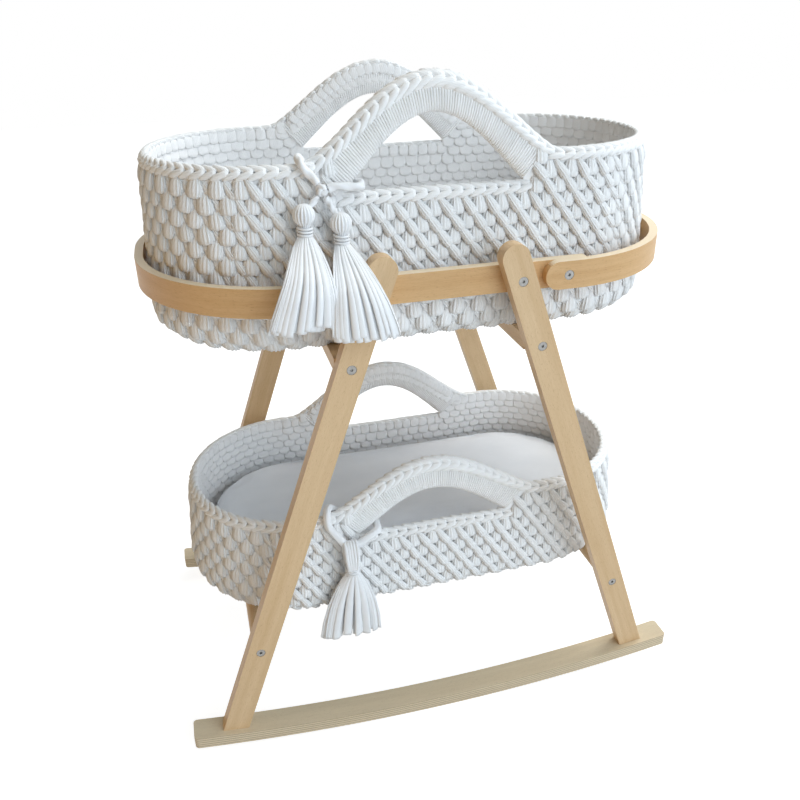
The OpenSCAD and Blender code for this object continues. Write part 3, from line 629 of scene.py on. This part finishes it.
# Strips that leave the neck close together, spread, lap over each other and end at uneven hems
def makeSkirt(t):
    chance = np.random.default_rng(t.seed)
    drapes = np.array(t.drapes).T
    bx, by, _ = np.array(t.ball) * mm
    narrow, broad, thin = t.strip
    ring = fullTurn * (np.arange(t.sides) + 0.5) / t.sides
    verts, faces, uv = [], [], []
    for layer, (count, inset, uneven) in enumerate(t.layers):
        for i in range(count):
            angle = fullTurn * (i + 0.5 * layer + chance.uniform(-t.jitter, t.jitter)) / count
            angle -= t.crowd * math.sin(2 * angle)
            drop = np.linspace(0, t.cut, t.rows) * (1 - uneven * chance.uniform(0, 1))
            reach, wide, thick = (np.interp(drop, drapes[0], drape) for drape in drapes[1:])
            for _ in range(t.smoothing):
                for row in (reach, wide, thick):
                    row[1:-1] = (row[:-2] + 2 * row[1:-1] + row[2:]) / 4
            halfWide, halfThick = ((t.neck / 2 + (size - t.neck) / 2 * row) * inset
                                   for size, row in ((t.width, wide), (t.thickness, thick)))
            centre = points(bx + t.drift * drop + halfWide * math.cos(angle),
                            by - t.reach * reach + halfThick * math.sin(angle),
                            t.top * mm + t.lap - (t.length + t.lap) * drop)
            along = unit(np.gradient(centre, axis=0))
            across = points(-halfWide * math.sin(angle), halfThick * math.cos(angle), 0.0)
            across = unit(across - along * (across * along).sum(axis=1)[:, None])
            out = np.cross(along, across)
            twist = (chance.normal(0, t.twist) * drop)[:, None]
            across, out = (across * np.cos(twist) + out * np.sin(twist),
                           out * np.cos(twist) - across * np.sin(twist))
            half = (narrow + (broad - narrow) * wide ** t.widening) / 2 * chance.uniform(*t.widths)
            curl = chance.uniform(*t.curls) * (1 if math.sin(angle) < 0 else -1)
            side = half[:, None] * np.cos(ring)
            lift = thin / 2 * np.sin(ring) - curl * side * np.cos(ring)
            faces += loftFaces(t.rows, t.sides, len(verts) * t.rows * t.sides)
            verts.append(centre[:, None] + across[:, None] * side[..., None] + out[:, None] * lift[..., None])
            uv.append(points(half[:, None] * ring, t.length * drop[:, None]))
    settle(closedSkin(t.name + "_strips", verts, faces, uv, stripMaterial), t.name, t.name + "_skirt")


for tassel in (outerTassel, innerTassel, lowerTassel):
    makeBinding(tassel)
    makeSkirt(tassel)
    if tassel.knot:
        makeBall(tassel)
        makeTail(tassel)
    else:
        makeLoop(tassel)
print("cords and tassels made")

# The baskets' sizes, shared by both, and what differs
basketSettings = Settings(
    lengths(length=734, width=368, corner=178, rimLength=714, rimWidth=340, rimCorner=166, edge=35, wall=14,
    span=334, openingSpan=244, drop=37, band=46, lean=18, sideMargin=1, sillMargin=3), fullness=0.7,
    openingFullness=0.55, shoulder=0.8)
upperBasket = Settings(basketSettings, **lengths(height=235, rises=(98, 90), plainBelow=105), name="upper")
lowerBasket = Settings(basketSettings, **lengths(height=161, rises=(66, 94), plainBelow=20), name="lower")
edgeRun = basketSettings.edge * math.pi / 2
for basket in (upperBasket, lowerBasket):
    basket["body"] = basket.name + "_basket"
    basket["base"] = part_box(basket.body + "_shell")[0].z
    basket["rimRun"] = edgeRun + basket.height - basket.edge


# The runs of the outline at half height, from the middle of the front towards +X
def outlineRuns(b):
    long, wide = (b.length + b.rimLength) / 4, (b.width + b.rimWidth) / 4
    corner = (b.corner + b.rimCorner) / 2
    side, bend, end = long - corner, corner * math.pi / 2, 2 * (wide - corner)
    return np.array([side, bend, end, bend, 2 * side, bend, end, bend, side])


outline = outlineRuns(basketSettings)
turnLength = float(outline.sum())
outlineMarks = np.concatenate([[0], np.cumsum(outline)]) / turnLength


def bell(x, span, fullness):
    wave = np.clip((1 + np.cos(fullTurn * x / span)) / 2, 0, 1) ** fullness
    return np.where(np.abs(x) >= span / 2, 0, wave)


# Places and outward directions on an outline, by their share of one turn round it: the bends' centres move
# along the straight runs, and the direction turns in the bends
def ringPlace(long, wide, corner, share):
    rows = ((0, 1, 1, 1, 1, -1, -1, -1, -1, 0), (-1, -1, -1, 1, 1, 1, 1, -1, -1, -1),
            np.radians((-90, -90, 0, 0, 90, 90, 180, 180, 270, 270)))
    x, y, turn = (np.interp(np.mod(share, 1.0), outlineMarks, row) for row in rows)
    nx, ny = np.cos(turn), np.sin(turn)
    return x * (long - corner) + nx * corner, y * (wide - corner) + ny * corner, nx, ny


# The same on an outline of given sizes, drawn in all round
def insetPlace(s, share, inset=0.0):
    return ringPlace(s.length / 2 - inset, s.width / 2 - inset, s.corner - inset, share)


# How far the rim rises above its own level at a share of the outline
def rimRise(b, share):
    x, y, _, _ = ringPlace(b.rimLength / 2, b.rimWidth / 2, b.rimCorner, share)
    return np.where(y < 0, b.rises[0], b.rises[1]) * bell(x, b.span, b.fullness), x, y


# A place on the wall: its share round the outline, its run up from the flat base, its depth in the wall
def wallPlace(b, share, run, depth=0.0):
    share, run = np.broadcast_arrays(np.asarray(share, dtype=float), np.asarray(run, dtype=float))
    tall = b.height - b.edge
    angle = np.clip(run / b.edge, 0, math.pi / 2)
    up = np.clip(run - edgeRun, 0, None)
    rise, _, _ = rimRise(b, share)
    low = b.shoulder * tall
    f = (up - low) / (tall + rise - low)
    s = np.where(up <= low, up / tall, b.shoulder + (1 - b.shoulder) * f)
    draw = b.edge * (1 - np.sin(angle)) + depth * np.sin(angle)
    long = b.length / 2 + (b.rimLength - b.length) / 2 * s - draw
    wide = b.width / 2 + (b.rimWidth - b.width) / 2 * s - draw
    corner = b.corner + (b.rimCorner - b.corner) * s - draw
    x, y, nx, ny = ringPlace(long, wide, corner, share)
    y = y - np.sign(y) * b.lean * rise / max(b.rises) * np.clip(f, 0, None)
    z = b.base + b.edge - (b.edge - depth) * np.cos(angle) + up
    outward = points(nx * np.sin(angle), ny * np.sin(angle), -np.cos(angle))
    return points(x, y, z), outward, points(nx * np.cos(angle), ny * np.cos(angle), np.sin(angle))


# True over the openings under the handles, widened by a margin
def inOpening(b, x, y, margin):
    return (np.abs(x) < b.openingSpan / 2 + margin) & (np.abs(y) > b.rimWidth / 2 - b.sideMargin)


# True where the crocheted wall reaches, clear of the rim's braid, the opening and the handle
def onWall(b, share, run, margin):
    rise, x, y = rimRise(b, share)
    opened = inOpening(b, x, y, b.sillMargin) & (run + margin > b.rimRun - b.drop)
    return (run + margin < b.rimRun + rise) & ~opened


# What stitches share: a puff of parallel threads on a flatter back, alone or as each half of a link
puffSettings = Settings(
    rings=6, threads=4, back=2, flat=0.6, narrow=0.0, lean=0.0, halves=(0,), spread=0, gap=0.0, uneven=0.05)
# Outer crochet: upright puffs of threads in slanted columns, with a chain of slanted bundles between them
outerSettings = Settings(
    lengths(pitch=30.5, row=18.5, first=15, foot=6, margin=6, plainPast=225, endFade=60, lowFade=20),
    shift=0.43, above=4,
    puffs=Settings(puffSettings, **lengths(width=24.5, height=25.5, depth=13, lean=2.6, sink=4), threads=7,
        fullness=0.5, narrow=0.34, ridge=0.17, square=0.85, seed=3, aside=0.0, lift=0.0, hidden=0.0,
        end=0.14, slant=0.0, sway=0.07, swaySeed=1),
    bundles=Settings(puffSettings, **lengths(width=15, height=30, depth=8.5, lean=3.2, lift=0.2, hidden=5),
        threads=6, fullness=0.42, narrow=0.52, ridge=0.19, square=0.8, seed=8, aside=0.5, sink=0.0, end=0.0,
        slant=1.0, sway=0.05, swaySeed=4))
# Inner crochet: flat scales in brick rows, and small stitches under the edge and in two rows on the handles
innerSettings = Settings(
    lengths(pitch=20, row=14, sink=10.4, first=23, margin=14), inside=0.955, above=6, sway=0.09, swaySeed=2,
    slant=0.12,
    scales=Settings(puffSettings, **lengths(width=24, height=22, depth=4.4, lean=1.9), fullness=0.6,
        ridge=0.012, square=0.8, uneven=0.08, seed=5),
    edge=Settings(puffSettings, **lengths(width=17, height=19, depth=4.6, lean=0.8, pitch=15.6, drop=11,
        past=4), fullness=0.4, ridge=0.02, square=0.55, uneven=0.04, seed=6),
    handle=Settings(lengths(pitch=11, row=13, first=10.5, sink=13.6, past=6), size=0.86, leans=(0.3, -0.3),
        steps=161))
# Underside: flat stitches in rounds
baseSettings = Settings(
    lengths(pitch=21, row=20, sink=3.2, out=4, stop=8, rounder=6, tightest=1), least=8,
    puff=Settings(puffSettings, **lengths(width=22, height=25, depth=6), rings=5, threads=5, fullness=0.5,
        narrow=0.1, ridge=0.05, square=0.7, seed=7))
# Braid of V stitches on the rim, the handles' tops and the sills
braidSettings = Settings(
    lengths(pitch=14.8, sink=4.5, drop=7, short=4), tilt=0.8, swell=0.32, rimSteps=1600, sillSteps=120,
    link=Settings(puffSettings, **lengths(width=10.5, height=25, depth=10.5, lean=2, gap=8.5), rings=7,
        back=4, fullness=0.5, narrow=0.35, ridge=0.05, square=0.9, halves=(-1, 1), spread=19, uneven=0.04,
        seed=11))
# Handles: yarn wound closely round a core that is thickest at its lower edge
handleSettings = Settings(
    lengths(reach=118, topReach=150, drop=7, pitch=3.5, thick=15, coreLess=1), yarn=yarnOf(3.8, 6),
    swell=0.3, pathSteps=241, steps=22, square=0.8, ring=14, coreStep=4, coreShare=0.93)
# Ground: the closely worked sheet behind the stitches, from the base to just under the braids
groundSettings = Settings(
    lengths(drop=8, depth=6.2, thickness=7.4, insets=(150, 110, 70, 40)), columns=240, edgeRows=6,
    wallRows=13)


# A stitch with its poles at its top and its foot, facing +Z, and with the grooves between its threads sharp
def makeStitch(name, s):
    rings, front, back = s.rings, 2 * s.threads, s.back
    sides = front + back
    angle = math.pi * np.concatenate([shares(front), 1 + shares(back)])
    ridge = s.ridge * np.concatenate([np.where(np.arange(front) % 2, 1, -1), [-1], np.zeros(back - 1)])
    across, out = squaredOff(angle, s.square)
    lat = math.pi * np.arange(1, rings)[:, None] / rings
    tall, y = s.height / 2, -np.cos(lat)
    girth = np.sin(lat) ** s.fullness * (1 + ridge)
    x = across * s.width / 2 * girth * (1 - s.narrow * (y + 1) / 2)
    z = out * s.depth / 2 * np.where(angle < math.pi, 1, s.flat) * girth - s.lean * y
    uv = np.vstack([points(s.width * angle / math.pi, y * tall).reshape(-1, 2), [(0, -tall), (0, tall)]])
    verts = np.vstack([points(x, y * tall, z).reshape(-1, 3), [(0, -tall, s.lean), (0, tall, -s.lean)]])
    foot, last, faces = len(verts) - 2, (rings - 2) * sides, []
    for k in range(sides):
        n = (k + 1) % sides
        faces += [(n, k, foot), (last + k, last + n, foot + 1)]
        faces += [(a + n, a + sides + n, a + sides + k, a + k) for a in range(0, last, sides)]
    skins, allFaces = [], []
    for half, side in enumerate(s.halves):
        turn = math.radians(s.spread * side)
        c, n = math.cos(turn), math.sin(turn)
        skins.append(verts @ np.array([[c, -n, 0], [n, c, 0], [0, 0, 1]]) + [side * s.gap / 2, 0, 0])
        allFaces += [tuple(half * len(verts) + i for i in face) for face in faces]
    mesh = newMesh(name, skins, allFaces, np.tile(uv, (len(skins), 1)))
    ends = np.array([e.vertices[:] for e in mesh.edges]) % len(verts)
    columns = np.where(ends < foot, ends % sides, -1)
    low, high = columns.min(axis=1), columns.max(axis=1)
    sharp = ((low == high) | (low < 0)) & (high % 2 == 0) & (high <= front)
    mesh.attributes.new("sharp_edge", "BOOLEAN", "EDGE").data.foreach_set("value", sharp.tolist())
    return bpy.data.objects.new(name, mesh)


# One stitch at every place on a basket, as one piece
def stitched(b, part, s, places, outward, upward, sizes=1.0):
    name = b.name + part
    stitch = makeStitch(name + "_stitch", s)
    base = newMesh(name + "_places", places, [])
    sizes = (np.ones(len(places)) * sizes).astype(np.float32)
    base.attributes.new("size", "FLOAT", "POINT").data.foreach_set("value", sizes)
    for key, vectors in (("outward", outward), ("upward", upward)):
        layer = base.attributes.new(key, "FLOAT_VECTOR", "POINT")
        layer.data.foreach_set("vector", vectors.astype(np.float32).ravel())
    piece = grown(base, stitchTree, name, {"Stitch": stitch, "Uneven": s.uneven, "Seed": s.seed,
                                           "Material": yarnMaterial})
    bpy.data.batch_remove((stitch, stitch.data))
    settle(piece, b.body)


# The share of the outline from the middle of a long side to a distance along that side
def frontShare(b, distance):
    return distance / (b.rimLength / 2 - b.rimCorner) * outline[0] / turnLength


# Places at equal steps along a path, with the outward and onward directions there
def alongPath(path, outward, pitch, closed=False):
    way, lead = (np.vstack([v, v[:1]]) if closed else v for v in (path, outward))
    run = runAlong(way)
    marks = np.linspace(0, run[-1], max(2, round(run[-1] / pitch)), endpoint=not closed)
    places, out = (valuesAt(marks, run, v) for v in (way, lead))
    if closed:
        return places, out, unit(np.roll(places, -1, axis=0) - np.roll(places, 1, axis=0))
    return places, out, unit(np.gradient(places, axis=0))


# The upward directions turned in the wall's plane by a slant and a small seeded sway
def swayed(outward, upward, s, slant):
    turn = np.random.default_rng(s.swaySeed).normal(slant, s.sway, len(upward))[:, None]
    return upward * np.cos(turn) + np.cross(outward, upward) * np.sin(turn)


# From 0 on the wall's long sides to 1 on its ends and low under the ring, where the stitch shows no lines
def plainness(b, s, share, run):
    ends = np.clip((np.abs(insetPlace(b, share)[0]) - s.plainPast) / s.endFade, 0, 1)
    return np.maximum(ends, np.clip((b.plainBelow - run) / s.lowFade, 0, 1))


# Column and row numbers of stitches, from some rows above the rim down to a run above the base
def wallGrid(b, s, columns, foot):
    last = int((b.rimRun - s.first - foot) / s.row)
    return (v.ravel() for v in np.meshgrid(np.arange(columns), np.arange(-s.above, last + 1)))


def joinedSets(sets):
    return (np.concatenate(parts) for parts in zip(*sets))


def makeOuter(b, s):
    columns = round(turnLength / s.pitch)
    column, row = wallGrid(b, s, columns, s.foot)
    slant = math.atan2(s.shift * s.pitch, s.row)
    for part in ("puffs", "bundles"):
        p = s[part]
        share = (column + p.aside + s.shift * row) / columns
        run = b.rimRun - s.first - (row + 0.5) * s.row
        keep = onWall(b, share, run, s.row / 2 + s.margin)
        share, run = share[keep], run[keep]
        plain = plainness(b, s, share, run)
        place, outward, upward = wallPlace(b, share, run, p.sink)
        place = place + outward * (p.lift - p.hidden * plain)[:, None]
        upward = swayed(outward, upward, p, slant * p.slant)
        stitched(b, "_outer_" + part, p, place, outward, upward, 1 + p.end * plain)


def makeInner(b, s):
    inside = turnLength * s.inside
    columns = round(inside / s.pitch)
    column, row = wallGrid(b, s, columns, edgeRun)
    share = (column + 0.5 * (row % 2)) / columns
    run = b.rimRun - s.first - row * s.row
    keep = onWall(b, share, run, s.margin)
    place, outward, upward = wallPlace(b, share[keep], run[keep], s.sink)
    stitched(b, "_inner_scales", s.scales, place, -outward, swayed(outward, upward, s, s.slant))
    edge, handle = s.edge, s.handle
    share = shares(round(inside / edge.pitch))
    rise, x, y = rimRise(b, share)
    run = b.rimRun + np.where(inOpening(b, x, y, edge.past), -b.drop, rise) - edge.drop
    sets, sizes = [wallPlace(b, share, run, s.sink)], [np.ones(len(share))]
    for middle in (0.0, 0.5):
        part = middle + np.linspace(-1, 1, handle.steps) * frontShare(b, b.openingSpan / 2 + handle.past)
        top = b.rimRun + rimRise(b, part)[0] - handle.first
        for line, lean in enumerate(handle.leans):
            path, outward, _ = wallPlace(b, part, top - line * handle.row, handle.sink)
            place, out, along = alongPath(path, outward, handle.pitch)
            upward = np.cross(along, out)
            upward *= np.sign(upward[:, 2:])
            sets.append((place, out, upward * math.cos(lean) + along * math.sin(lean)))
            sizes.append(np.full(len(place), handle.size))
    place, outward, upward = joinedSets(sets)
    stitched(b, "_inner_edging", edge, place, -outward, upward, np.concatenate(sizes))


def makeBase(b, s):
    sets = []
    for inset in np.arange(b.edge - s.out, b.width / 2 - s.stop, s.row):
        long, wide = b.length / 2 - inset, b.width / 2 - inset
        corner = min(b.corner, b.width / 2 - s.rounder) - inset
        length = 4 * (long + wide) - (8 - fullTurn) * max(corner, 0)
        share = shares(max(s.least, round(length / s.pitch)))
        x, y, nx, ny = ringPlace(long, wide, max(corner, s.tightest), share)
        sets.append((points(x, y, b.base + s.sink), points(0 * x, 0.0, -1.0), points(nx, ny, 0.0)))
    stitched(b, "_base_rounds", s.puff, *joinedSets(sets))


def braidOn(path, outward, s, closed=False):
    places, out, tangent = alongPath(path, outward, s.pitch, closed)
    return places, out * s.tilt + np.cross(out, tangent) * math.sqrt(1 - s.tilt ** 2), -tangent


def makeBraids(b, s):
    share = shares(s.rimSteps)
    rise, _, _ = rimRise(b, share)
    drop = s.drop * (1 + s.swell * rise / max(b.rises))
    path, outward, _ = wallPlace(b, share, b.rimRun + rise - drop, s.sink)
    sets = [braidOn(path, outward, s, True)]
    for middle in (0.0, 0.5):
        sill = middle + np.linspace(-1, 1, s.sillSteps) * frontShare(b, b.openingSpan / 2 - s.short)
        path, outward, _ = wallPlace(b, sill, b.rimRun - b.drop - s.drop, s.sink)
        sets.append(braidOn(path, outward, s))
    places, facing, along = joinedSets(sets)
    risen = np.clip((places[:, 2] - b.base - b.height) / min(b.rises), 0, 1)
    stitched(b, "_braids", s.link, places, facing, along, 1 + s.swell * risen)


# The places of a handle's lower and upper edges on the wall, from its left to its right root
def handleEdges(b, s, front):
    q = np.sin(np.linspace(-math.pi / 2, math.pi / 2, s.pathSteps))
    sign, middle, rise = (1, 0.0, b.rises[0]) if front else (-1, 0.5, b.rises[1])
    low, high = (middle + sign * frontShare(b, q * reach) for reach in (s.reach, s.topReach))
    opening = (rise + b.drop - b.band) * bell(q * s.reach, b.openingSpan, b.openingFullness)
    lowPlace, outward, _ = wallPlace(b, low, b.rimRun - b.drop + opening, b.wall / 2)
    highPlace, _, _ = wallPlace(b, high, b.rimRun + rimRise(b, high)[0] - s.drop, b.wall / 2)
    return lowPlace, highPlace, outward


def makeHandles(b, s):
    paths, verts, faces = [], [], []
    turn = fullTurn * shares(s.ring)[:, None]
    deep = (s.thick / 2 - s.coreLess) * (1 - s.swell * np.cos(turn))
    for front in (True, False):
        low, high, outward = handleEdges(b, s, front)
        centre, half = (low + high) / 2, (high - low) / 2
        run = runAlong(centre)
        turns = round(run[-1] / s.pitch)
        marks = np.linspace(0, 1, turns * s.steps + 1)
        middle, wide, thick = (valuesAt(marks, run / run[-1], v) for v in (centre, half, outward))
        angle = fullTurn * turns * marks[:, None]
        across, out = squaredOff(angle, s.square)
        paths.append(middle + wide * across + thick * out * s.thick / 2 * (1 - s.swell * np.cos(angle)))
        spine, tall, lead = (v[::s.coreStep, None] for v in (centre, half, outward))
        faces += loftFaces(len(spine), s.ring, len(verts) * len(spine) * s.ring)
        verts.append(spine + tall * s.coreShare * np.cos(turn) + lead * deep * np.sin(turn))
    settle(swept(b.name + "_handle_wraps", paths, s.yarn, yarnMaterial), b.body)
    noMap = 0 * np.reshape(verts, (-1, 3))[:, :2]
    settle(closedSkin(b.name + "_handle_cores", verts, faces, noMap, yarnMaterial), b.body)


def makeGround(b, s):
    share = shares(s.columns)
    rise, x, y = rimRise(b, share)
    top = b.rimRun + np.where(inOpening(b, x, y, 0.0), -b.drop, rise) - s.drop
    rows = []
    for inset in s.insets:
        x, y, _, _ = insetPlace(b, share, inset)
        rows.append(points(x, y, b.base + s.depth))
    runs = [edgeRun * part for part in np.linspace(0, 1, s.edgeRows)]
    runs += [edgeRun + (top - edgeRun) * part for part in np.linspace(0, 1, s.wallRows)[1:]]
    rows += [wallPlace(b, share, run, s.depth)[0] for run in runs]
    verts = np.concatenate(rows)
    faces = [face[:1] + face[:0:-1] for face in loftFaces(len(rows), s.columns)[:-1]]
    obj = linked(b.name + "_ground", newMesh(b.name + "_ground", verts, faces, 0 * verts[:, :2]))
    setAll(obj.modifiers.new("thick", "SOLIDIFY"), thickness=s.thickness, offset=0.0)
    keepShape(obj)
    obj.data.materials.append(yarnMaterial)
    settle(obj, b.body, b.body + "_shell")


for basket in (upperBasket, lowerBasket):
    makeGround(basket, groundSettings)
    makeOuter(basket, outerSettings)
    makeInner(basket, innerSettings)
    makeBase(basket, baseSettings)
    makeBraids(basket, braidSettings)
    makeHandles(basket, handleSettings)
    print(basket.name, "basket made")

# Mattresses: cotton covers over foam, swollen by a short cloth simulation, with a piped seam round the top.
# Sides are heights with how far the side draws in there, crowns are spreads with the top's rises there
mattressSettings = Settings(
    lengths(length=680, width=306, corner=146, thickness=66, crown=6, draw=6, less=5, voxel=6, cap=6,
    floor=0.4, proud=0.6, outside=50), ring=160, pressure=4, frames=20, seam=0.9, steps=180,
    piping=yarnOf(3.4, 8, 2, 0.05, 12), sides=[(0, 1.6), (0.06, 0.7), (0.2, 0.15), (0.5, 0), (0.8, 0.15),
    (0.94, 0.7), (1, 1.6)], crowns=[(0.82, 0.45), (0.55, 0.85), (0.25, 0.98), (0.02, 1.0)])


def mattressForm(s):
    rows = []
    for height, draw in s.sides:
        x, y, _, _ = insetPlace(s, shares(s.ring), s.draw * draw + s.less)
        rows.append(points(x, y, s.less / 2 + (s.thickness - s.less) * height))
    edge = rows[-1]
    rows += [edge * [spread, spread, 1] + [0, 0, s.crown * rise] for spread, rise in s.crowns]
    return closedSkin("mattress_form", rows, loftFaces(len(rows), s.ring))


def meshPlaces(obj):
    return np.array([v.co[:] for v in obj.data.vertices])


def swollen(obj, s):
    setAll(obj.modifiers.new("voxels", "REMESH"), mode="VOXEL", voxel_size=s.voxel, use_smooth_shade=True)
    keepShape(obj)
    before = meshPlaces(obj)
    cloth = obj.modifiers.new("swell", "CLOTH").settings
    setAll(cloth, use_pressure=True, uniform_pressure_force=s.pressure)
    cloth.effector_weights.gravity = 0
    for step in range(1, s.frames + 1):
        scene.frame_set(step)
    keepShape(obj)
    scene.frame_set(1)
    move = meshPlaces(obj) - before
    far = np.linalg.norm(move, axis=1)[:, None]
    after = before + move * np.minimum(1, s.cap / np.maximum(far, 1e-9))
    after[:, 2] = np.maximum(after[:, 2], s.floor)
    obj.data.vertices.foreach_set("co", after.astype(np.float32).ravel())
    setAll(obj.modifiers.new("fine", "SUBSURF"), levels=1, render_levels=1)
    keepShape(obj)


# A cover, and its piping laid on its side by rays from outside
def makeMattress(b, s, form):
    low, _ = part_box(b.name + "_mattress")
    body = b.name + "_bedding"
    obj = linked(b.name + "_mattress_cover", form.data.copy())
    obj.data.transform(Matrix.Translation((0, 0, low.z)))
    obj.data.materials.append(coverMaterial)
    settle(obj, body, b.name + "_mattress", slot="mattress_cotton")
    tree = BVHTree.FromPolygons(meshPlaces(obj).tolist(), [p.vertices[:] for p in obj.data.polygons])
    path = []
    for x, y, nx, ny in zip(*insetPlace(s, shares(s.steps))):
        out = Vector((nx, ny, 0))
        start = Vector((x, y, low.z + s.seam * s.thickness)) + out * s.outside
        path.append(tree.ray_cast(start, -out)[0] + out * s.proud)
    seam = swept(b.name + "_mattress_piping", [np.array(path)], s.piping, coverMaterial, True)
    settle(seam, body, slot="mattress_cotton")


mattress = mattressForm(mattressSettings)
swollen(mattress, mattressSettings)
for basket in (upperBasket, lowerBasket):
    makeMattress(basket, mattressSettings, mattress)
bpy.data.objects.remove(mattress)
print("mattresses made")

# Timbers, fasteners and boards: the solids themselves, the timbers with softened edges and their own grain
timberSettings = Settings(
    edge=1.6 * mm, segments=2, weld=0.01 * mm, flat=math.radians(0.3), sharp=math.radians(40))
lying, splay = -math.pi / 2, math.radians(19.5)
steel = makeSteel(steelSettings)
# What the solids are made of, by the ends of their names, and whether their edges are softened
finishes = [
    ("_left_leg", makeWood("beech_left_leg", beechSettings, turnedGrain(0, lying + splay, 0)), True),
    ("_right_leg", makeWood("beech_right_leg", beechSettings, turnedGrain(0, lying - splay, 0)), True),
    ("_crossbar", makeWood("beech_crossbar", beechSettings, turnedGrain(0, 0, -lying)), True),
    ("_rail", makeWood("beech_rail", bentSettings, objectPlace), True),
    ("_hoop", makeWood("bent_beech", bentSettings, ringGrain), True),
    ("_rocker", makeWood("laminated_beech", rockerSettings, objectPlace, rockerLayers), True),
    ("_board", makeWood("plywood", plywoodSettings, objectPlace, boardLayers), False),
    (("_bolts", "_nuts", "_screws"), steel, False)]


def softenEdges(obj, s):
    setAll(obj.modifiers.new("weld", "WELD"), merge_threshold=s.weld)
    setAll(obj.modifiers.new("flat", "DECIMATE"), decimate_type="DISSOLVE", angle_limit=s.flat)
    setAll(obj.modifiers.new("soften", "BEVEL"), width=s.edge, segments=s.segments, limit_method="ANGLE",
           angle_limit=s.sharp)
    setAll(obj.modifiers.new("even", "WEIGHTED_NORMAL"), weight=100, keep_sharp=False)


for name, obj in nodes.items():
    for ending, material, soft in finishes:
        if name.endswith(ending):
            obj.data.materials.clear()
            obj.data.materials.append(material)
            if soft:
                softenEdges(obj, timberSettings)
print("timbers dressed")

# Floor and light: a white surround seen by the camera, a bright right, a soft cool front and a dim warm left
floorSettings = Settings(size=14, bounce="#D8D8D8", shown=0.8, shade="#BCBCBC")
worldSettings = Settings(left="#54431B", middle="#E4F4FC", right="#B4BEC9", reach=(-0.6, 0.3), strength=1.0)
keyLight = Settings(name="key", place=(2.1, 0.6, 4.0), size=2.4, power=86, colour="#FFFBF4")
frontLight = Settings(name="front", place=(1.7, -2.9, 1.8), size=3.6, power=66, colour="#E4F0FD")
leftLight = Settings(name="left", place=(-2.5, -0.9, 0.7), size=1.8, power=9, colour="#FFC04A")
lightAim = Vector((0, 0, 0.55))


# Ends a tree with one look for light that passes by, and another for what the camera, a mirror or glass sees
def endLook(tree, kind, lit, seen):
    light = addNode(tree, "ShaderNodeLightPath").outputs
    looked = mathNode(tree, "MAXIMUM", light["Is Camera Ray"], light["Is Glossy Ray"])
    looked = mathNode(tree, "MAXIMUM", looked, light["Is Transmission Ray"])
    both = addNode(tree, "ShaderNodeMixShader", {0: looked, 1: lit, 2: seen})
    addNode(tree, "ShaderNodeOutput" + kind, {"Surface": both})


def makeFloor(s):
    material, tree, _ = newMaterial("pale_floor")
    tree.nodes.clear()
    bounce, shade = (addNode(tree, "ShaderNodeBsdfDiffuse", {"Color": hexColour(colour)})
                     for colour in (s.bounce, s.shade))
    glow = addNode(tree, "ShaderNodeEmission", {"Strength": s.shown})
    endLook(tree, "Material", bounce, addNode(tree, "ShaderNodeAddShader", {0: shade, 1: glow}))
    half = s.size / 2
    corners = [(-half, -half, 0), (half, -half, 0), (half, half, 0), (-half, half, 0)]
    floor = linked("floor", newMesh("floor", corners, [(0, 1, 2, 3)]))
    floor.data.materials.append(material)


def makeWorld(s):
    scene.world = bpy.data.worlds.new("studio")
    scene.world.use_nodes = True
    tree = scene.world.node_tree
    tree.nodes.clear()
    x = splitAxes(tree, addNode(tree, "ShaderNodeTexCoord").outputs["Generated"])[0]
    tint = mixed(tree, between(tree, x, *s.reach), s.left, s.middle)
    tint = mixed(tree, between(tree, x, s.reach[1], 1.0), tint, s.right)
    lit, white = (addNode(tree, "ShaderNodeBackground", {"Color": colour, "Strength": strength})
                  for colour, strength in ((tint, s.strength), (hexColour("#FFFFFF"), 1.0)))
    endLook(tree, "World", lit, white)


def makeLamp(s):
    data = setAll(bpy.data.lights.new(s.name, "AREA"), shape="DISK", size=s.size, energy=s.power,
                  color=hexColour(s.colour)[:3])
    lamp = linked(s.name, data)
    lamp.location = s.place
    lamp.rotation_euler = (lightAim - lamp.location).to_track_quat("-Z", "Y").to_euler()


makeFloor(floorSettings)
makeWorld(worldSettings)
for light in (keyLight, frontLight, leftLight):
    makeLamp(light)
scene.view_settings.view_transform = "Standard"
